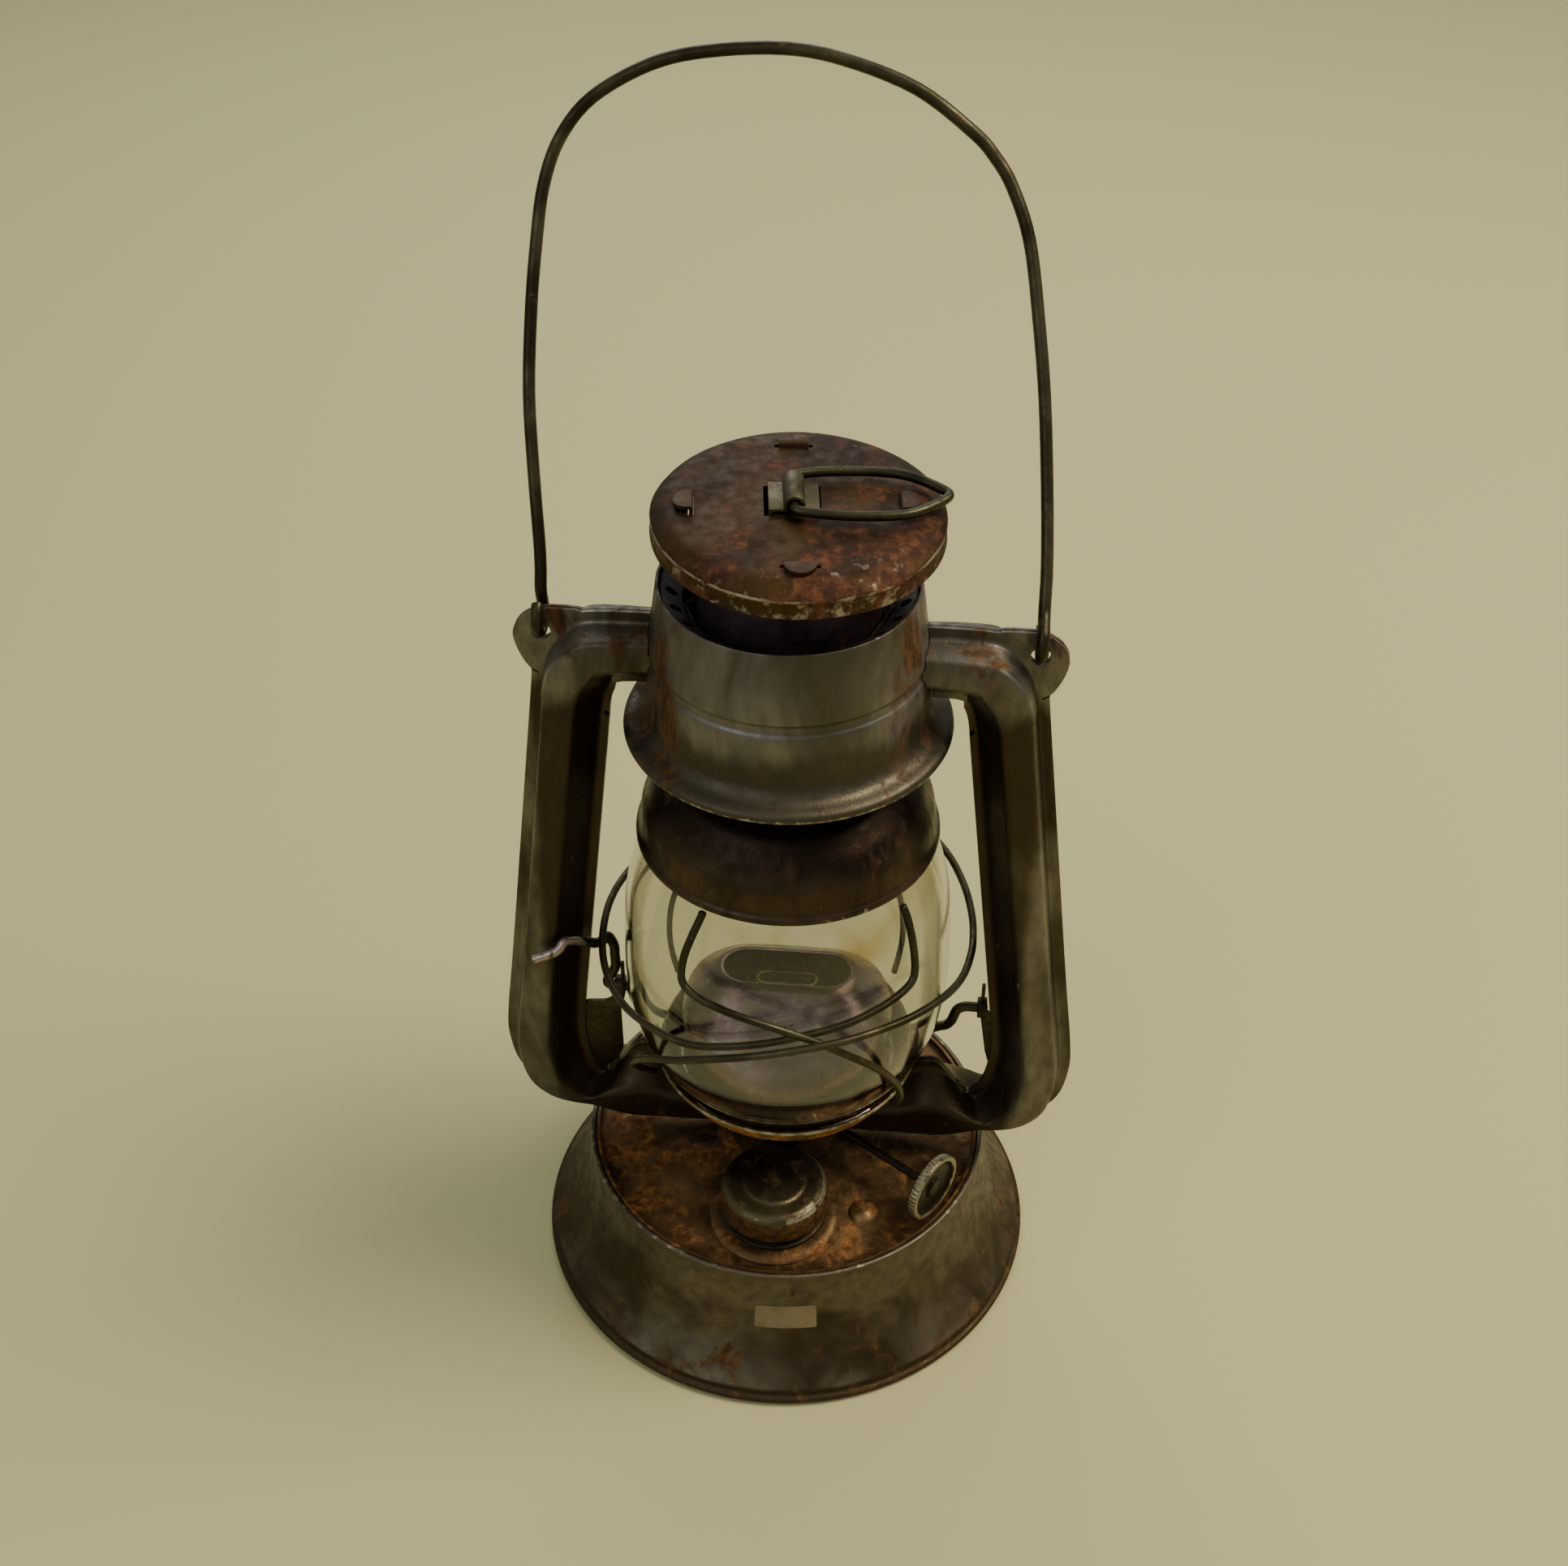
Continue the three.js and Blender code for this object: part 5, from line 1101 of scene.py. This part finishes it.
# Brown where it lies on the hood, smoked dark inside
leg_steel = aged_tin(
    "rusted_leg_steel", ("#45361F", "#4A3C42", "#7C6F56", "#301B0C", "#54341B"), 0.42,
    [("height", 226, 222, "soot_and_shade", 0.5), ("height", 222, 226, "soot_and_shade", -0.4)], rough=(0.44, 0.66),
)
for i, name in enumerate(("right", "back", "left", "front")):
    a = math.radians(90 * i + HOOD_TURN)
    x = LEG_LEAN[0] + (LEG_R + LEG_TAB) * math.cos(a)
    y = LEG_LEAN[1] + (LEG_R + LEG_TAB) * math.sin(a)
    height = hood_top(x, y) + GAP * 2 - CROWN_TOP_Z + LEG_W / 2
    middle = LEG_R + LEG_SHEET / 2
    crest = height + SHEET / 2
    bend = eased([(middle, height - 1), (middle, crest), (middle + 1, crest)], 1, steps=5)
    foot = CHIMNEY_R + SHEET / 2 + 0.1
    path = [(foot, 0, LEG_W), (foot, FOOT_LONG, LEG_W), (middle, FOOT_LONG * 1.6, LEG_W)]
    path += [(middle, height - 5, LEG_W), (middle, height - 2.5, TAB_WIDE)]
    path += [(out, up, TAB_WIDE) for out, up in bend]
    path += [
        (middle + 1 + (TAB_LONG - 1) * t, crest - TAB_DIP * t * t, TAB_WIDE * math.sqrt(max(1 - t * t, 0.02)))
        for t in TAB_STEPS
    ]
    leg = skinned(f"hood_leg_{name}_strip", strip_rings(path, SHEET))
    slant = Matrix.Identity(4)
    slant[0][2] = LEG_LEAN[0] / height
    slant[1][2] = LEG_LEAN[1] / height
    leg.data.transform(Matrix.Translation((0, 0, LEG_FOOT_Z * MM)) @ slant @ spun(90 * i + HOOD_TURN, "Z"))
    clad(leg, leg_steel)
    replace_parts(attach(leg, "hood_unit"), f"hood_leg_{name}")

# Ring bracket: a strap of tinned sheet, pressed into a round hump over the bar of the lifting
# ring and let into the hood's top.
RING_WIRE_R = 1.1
RING_BAR_X = -1.2
RING_BAR_Z = 9.5
STRAP_W = 10.4
STRAP_FOOT = 5.4
STRAP_END = 2.2


def stamped(name, outline, thickness, middle=0, bevel=0.15):
    """A flat blank standing in the XZ plane, its edges a little eased."""
    n = len(outline)
    points = [(x, middle + side * thickness / 2, z) for side in (-1, 1) for x, z in outline]
    faces = [tuple(range(n)), tuple(range(2 * n - 1, n - 1, -1))]
    faces += [(i, (i + 1) % n, n + (i + 1) % n, n + i) for i in range(n)]
    piece = made(name, points, faces)
    work = bmesh.new()
    work.from_mesh(piece.data)
    sharp = [e for e in work.edges if e.calc_face_angle(0) > math.radians(50)]
    bmesh.ops.bevel(
        work, geom=sharp, offset=bevel * MM, segments=2, affect="EDGES", profile=0.5, clamp_overlap=True,
    )
    work.to_mesh(piece.data)
    work.free()
    piece.data.shade_smooth()
    piece.data.set_sharp_from_angle(angle=math.radians(40))
    return piece


bay_r = RING_WIRE_R + SHEET / 2
hump_r = bay_r + SHEET
foot_z = HOOD_H + GAP
arcs = [
    [(RING_BAR_X + r * math.cos(a), RING_BAR_Z + r * math.sin(a)) for a in
     (math.pi * (1 - k / 16) for k in range(17))]
    for r in (bay_r, hump_r)
]
half_strap = [
    (bay_r, foot_z), (STRAP_FOOT - SHEET, foot_z), (STRAP_FOOT - SHEET, foot_z - STRAP_END),
    (STRAP_FOOT, foot_z - STRAP_END), (STRAP_FOOT, foot_z + SHEET), (hump_r, foot_z + SHEET),
]
strap_line = (
    [(RING_BAR_X - x, z) for x, z in half_strap[3:1:-1] + half_strap[1::-1]] + arcs[0]
    + [(RING_BAR_X + x, z) for x, z in half_strap] + arcs[1][::-1]
    + [(RING_BAR_X - x, z) for x, z in half_strap[:3:-1]]
)
strap = stamped("ring_bracket_strap", strap_line, STRAP_W, bevel=0.12)
strap.data.transform(lean)
clad(strap, aged_tin(
    "olive_strap_tin", ("#6A634A", "#3E3623", "#958D70", "#33210F", "#583A1C"), 0.24, rust_mm=4,
))
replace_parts(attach(strap, "hood_unit"), "ring_bracket")

# Lifting ring: olive iron wire bent to a pointed loop, its two ends meeting under the strap. It
# lies to the right over the hood.
RING_REACH = 33
RING_HALF_W = 8.5
RING_SIDE_SHARES = [
    (0, 0.05), (0, 0.4), (0, 0.67), (0.018, 0.79), (0.07, 0.86), (0.2, 0.95), (0.38, 1), (0.55, 0.985),
    (0.7, 0.9), (0.82, 0.68), (0.92, 0.38),
]
RING_TIP_SHARES = [(0.978, 0.17), (1, 0), (0.978, -0.17)]
ring_rows = [(x, -y) for x, y in RING_SIDE_SHARES + RING_TIP_SHARES] + RING_SIDE_SHARES[::-1]
lift_ring = bent_wire("lift_ring_wire", [
    (RING_BAR_X + RING_REACH * x, RING_HALF_W * y, RING_BAR_Z - RING_WIRE_R / 2 * x) for x, y in ring_rows
], RING_WIRE_R, 16)
lift_ring.data.transform(lean)
# The ring's wire is darker and greener than the guard's
clad(lift_ring, aged_tin(
    "dark_ring_wire", ("#47452F", "#26231A", "#858068", "#291C10", "#4C3218"), 0.3,
    rough=(0.3, 0.5), rust_mm=4,
))
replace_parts(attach(lift_ring, "lift_ring"), "lift_ring")

# Side tubes: each is two half shells pressed from tinned sheet and soldered along flat flanges,
# with an ear for the bail at the outer top corner. They carry the warm air down to the burner.
TUBE_X = 74
TUBE_TOP_Z = 200.2
ARM_Z = 36.6
TUBE_DEPTH = 8.6
TUBE_SHEET = 0.9
FLANGE_OUTER = 3
FLANGE_INNER = 2
UPRIGHT_SHARES = [
    (0.3, 1, 0.42, 0.886, 0.84), (0.589, 0.998, 0.717, 0.883, 0.96), (0.676, 0.985, 0.749, 0.87, 1),
    (0.75, 0.95, 0.77, 0.85, 1), (0.79, 0.9, 0.783, 0.82, 1), (0.806, 0.845, 0.795, 0.785, 1),
    (0.942, 0.381, 0.953, 0.357, 1), (0.991, 0.221, 1, 0.221, 1), (0.996, 0.159, 1, 0.171, 1),
]
ARM_SHARES = [
    (0.969, 0.68, 0.977, 0.846, 1), (0.9, 0.42, 0.936, 0.68, 0.98), (0.811, 0.295, 0.887, 0.639, 0.96),
    (0.711, 0.19, 0.819, 0.863, 0.95), (0.581, 0.041, 0.747, 1.07, 0.92), (0.481, 0, 0.664, 1.07, 0.84),
    (0.392, 0, 0.547, 0.896, 0.8), (0.17, 0, 0.24, 0.788, 0.76),
]
SECTION_SHARES = [(0, 0), (0.07, 0.88), (0.52, 1), (0.62, 0.93), (0.975, 0)]
EAR_X = 55.8
EAR_HOLE_Z = 193.8
EAR_HOLE_R = 2.3
EAR_SIZE = 9.8
EAR_SHARES = [
    (-1, 0.62), (-0.59, 0.64), (0, 0.63), (0.45, 0.39), (0.7, -0.05), (0.57, -0.61), (0.31, -1.1),
    (0.12, -1.1), (0.04, -0.64), (-0.24, -0.14), (-0.65, 0.2), (-1, 0.37),
]
stations = [
    (TUBE_X * ox, mix(low, high, oz), TUBE_IN_X * ix, mix(low, high, iz), TUBE_DEPTH * deep)
    for rows, low, high in ((UPRIGHT_SHARES, ARM_Z, TUBE_TOP_Z), (ARM_SHARES, ARM_Z, PLATE_Z))
    for ox, oz, ix, iz, deep in rows
]
rings = []
for ox, oz, ix, iz, depth in through(stations, 4):
    width = math.hypot(ix - ox, iz - oz)
    across = ((ix - ox) / width, (iz - oz) / width)
    back = -GAP / 2 - TUBE_SHEET
    line = [(0, back)]
    line += [
        (mix(FLANGE_OUTER, width - FLANGE_INNER, share), back - depth * deep)
        for share, deep in SECTION_SHARES
    ]
    line = eased(line + [(width, back)], 1.1, steps=4)
    section = both_faces(line, TUBE_SHEET)
    rings.append([(ox + across[0] * w, min(y, -GAP / 2), oz + across[1] * w) for w, y in section])
shell = skinned("tube_half", rings, crease=34)
crown_way = beside(crown_points[3:], -0.2)
shell = cut(shell, turned(
    "crown_way", [(0, crown_way[0][1]), *crown_way, (0, crown_way[-1][1] + 4)], 96,
), 34)
shell = cut(shell, drill(CHAMBER_R - GAP, 20, 90), 34)
ear_line = eased([(EAR_X + EAR_SIZE * x, EAR_HOLE_Z + EAR_SIZE * z) for x, z in EAR_SHARES], 2.6, True)
ear = stamped("ear", ear_line, TUBE_SHEET * 0.9, -GAP / 2 - TUBE_SHEET / 2, 0.12)
hole = drill(EAR_HOLE_R, -30, 30, 48)
hole.data.transform(Matrix.Translation((EAR_X * MM, 0, EAR_HOLE_Z * MM)) @ spun(90, "X"))
way = placed("ear_hole", hole.data.copy())
shell = joined(cut(shell, way, 34), cut(ear, hole))
# Grey-green tin, browner low down and towards the globe, with rust along the outer flange
tube_tin = aged_tin(
    "grey_green_tube_tin", ("#777367", "#3D3325", "#A79F86", "#39240F", "#62401E"), 0.2,
    [("radius", 62, 57, "soot_and_shade", 0.26), ("height", 176, 186, "soot_and_shade", -0.3), ("height", 62, 45, "rust", 0.08),
     ("height", 186, 196, "rust", 0.16), ("radius", 72.8, 74, "rust", 0.12)],
    rough=(0.32, 0.54), rust_mm=8, streak=0.4,
)
clad(shell, tube_tin)
for side, x_way in (("right", 1), ("left", -1)):
    for face, y_way in (("front", 1), ("back", -1)):
        tube = placed(f"tube_{side}_{face}_shell", shell.data.copy())
        tube.data.transform(Matrix.Diagonal((x_way, y_way, 1, 1)))
        if x_way * y_way < 0:
            tube.data.flip_normals()
        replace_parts(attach(tube, "frame"), f"tube_{side}_{face}")
bpy.data.objects.remove(shell)

# Lever brackets: dark steel plates soldered between the side tubes and bent up to a knuckle that
# the lever turns in, with a small tab on top. The left one is wide and the right one narrow.
BRACKET_SHEET = 1.4
BORE_R = 1.65
KNUCKLE_R = 2.7
TAB_W = 0.9
TAB_H = 6.4
LEFT_PLATE_SHARES = [
    (1, 0.33), (1, 0.53), (1, 0.78), (0.42, 0.8), (0.13, 0.87), (0.13, 1), (-0.12, 1), (-0.12, 0.87),
    (0.03, 0.77), (0.03, 0.22), (0.22, 0.1), (0.62, 0), (0.97, 0.03), (1, 0.15),
]
RIGHT_PLATE_SHARES = [
    (1, 0.37), (1, 0.6), (1, 0.92), (0.5, 1), (-0.5, 1), (-0.15, 0.93), (0.52, 0.48), (0.85, 0.36),
]
inner_edge = [(x, z) for _, _, x, z, _ in stations]
bend_z = mix(ARM_Z, PLATE_Z, 0.69)
bracket_steel = aged_tin(
    "dark_bracket_steel", ("#4A4130", "#2A2115", "#837A60", "#2C1C10", "#55371A"), 0.38, rust_mm=5,
)
for side, rows, knuckle_x, knuckle_w, tab_in in (
    ("right", RIGHT_PLATE_SHARES, 50, 2.4, 0), ("left", LEFT_PLATE_SHARES, 43.3, 2.6, 0.85),
):
    outline = []
    for out, up in rows:
        z = mix(bend_z, PIVOT_Z, up)
        outline.append((mix(knuckle_x, out_at(inner_edge, z) + 0.2, out), z))
    plate_blank = stamped(f"bracket_{side}_plate", eased(outline, 0.8, True), BRACKET_SHEET)
    bore = drill(BORE_R, -8, 8, 40)
    half = knuckle_w / 2
    knuckle = turned("knuckle", eased([
        (BORE_R, -half), (KNUCKLE_R, -half), (KNUCKLE_R, half), (BORE_R, half),
    ], 0.25, True), 40)
    seat = Matrix.Translation((knuckle_x * MM, 0, PIVOT_Z * MM)) @ spun(90, "Y")
    bore.data.transform(seat)
    knuckle.data.transform(seat)
    x0, x1 = knuckle_x - tab_in - TAB_W / 2, knuckle_x - tab_in + TAB_W / 2
    z0, z1 = PIVOT_Z + BORE_R + 0.4, PIVOT_Z + BORE_R + TAB_H
    tab = stamped("tab", [(x0, z0), (x1, z0), (x1, z1), (x0, z1)], BRACKET_SHEET, bevel=0.2)
    bracket = joined(cut(plate_blank, bore), knuckle, tab)
    if side == "left":
        bracket.data.transform(Matrix.Diagonal((-1, 1, 1, 1)))
        bracket.data.flip_normals()
    clad(bracket, bracket_steel)
    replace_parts(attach(bracket, "frame"), f"bracket_{side}")

# Bail: the carrying handle of thick iron wire, a little uneven from use, its ends bent to eyes
# through the ears. It leans back as it was left.
BAIL_WIRE_R = 1.4
BAIL_LEAN = 27
BAIL_H = 121.4
EYE_R = 3.9
EYE_Z = 197.7
EYE_DEGREES = 312
EYE_END_DEGREES = 42.4
EYE_STEPS = 16
EYE_END_SHARES = [(1.13, 0.31), (1.69, 0.05), (2.56, 0)]
ARCH_SHARES = [
    (-1.007, 0.132), (-1.032, 0.247), (-1.057, 0.395), (-1.054, 0.544), (-1.038, 0.659),
    (-1.013, 0.758), (-0.952, 0.84), (-0.832, 0.909), (-0.618, 0.966), (-0.403, 0.991),
    (-0.115, 1), (0.116, 0.985), (0.394, 0.941), (0.615, 0.872), (0.7, 0.833), (0.772, 0.784),
    (0.849, 0.695), (0.905, 0.556), (0.948, 0.417), (0.982, 0.247), (0.998, 0.132),
]
lie = math.radians(BAIL_LEAN)


def leaning(x, along, off):
    """A place on the bail, so far along it and so far off its plane, leant back."""
    return (
        x, along * math.sin(lie) + off * math.cos(lie), EYE_Z + along * math.cos(lie) - off * math.sin(lie),
    )


def bail_eye(x, way):
    """The loop at one end of the bail, from its cut end to the arch or back."""
    points = []
    for i in range(EYE_STEPS + 1):
        a = math.radians(mix(EYE_DEGREES, EYE_END_DEGREES, i / EYE_STEPS))
        points.append(leaning(x, EYE_R * math.cos(a), way * EYE_R * math.sin(a)))
    return points + [leaning(x, EYE_R * along, way * EYE_R * off) for along, off in EYE_END_SHARES]


arch = [leaning(EAR_X * x, BAIL_H * along, 0) for x, along in ARCH_SHARES]
bail = bent_wire("bail_wire", bail_eye(-EAR_X, 1) + arch + bail_eye(EAR_X, -1)[::-1], BAIL_WIRE_R, 18, 5)
clad(bail, iron_wire)
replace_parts(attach(bail, "bail"), "bail")
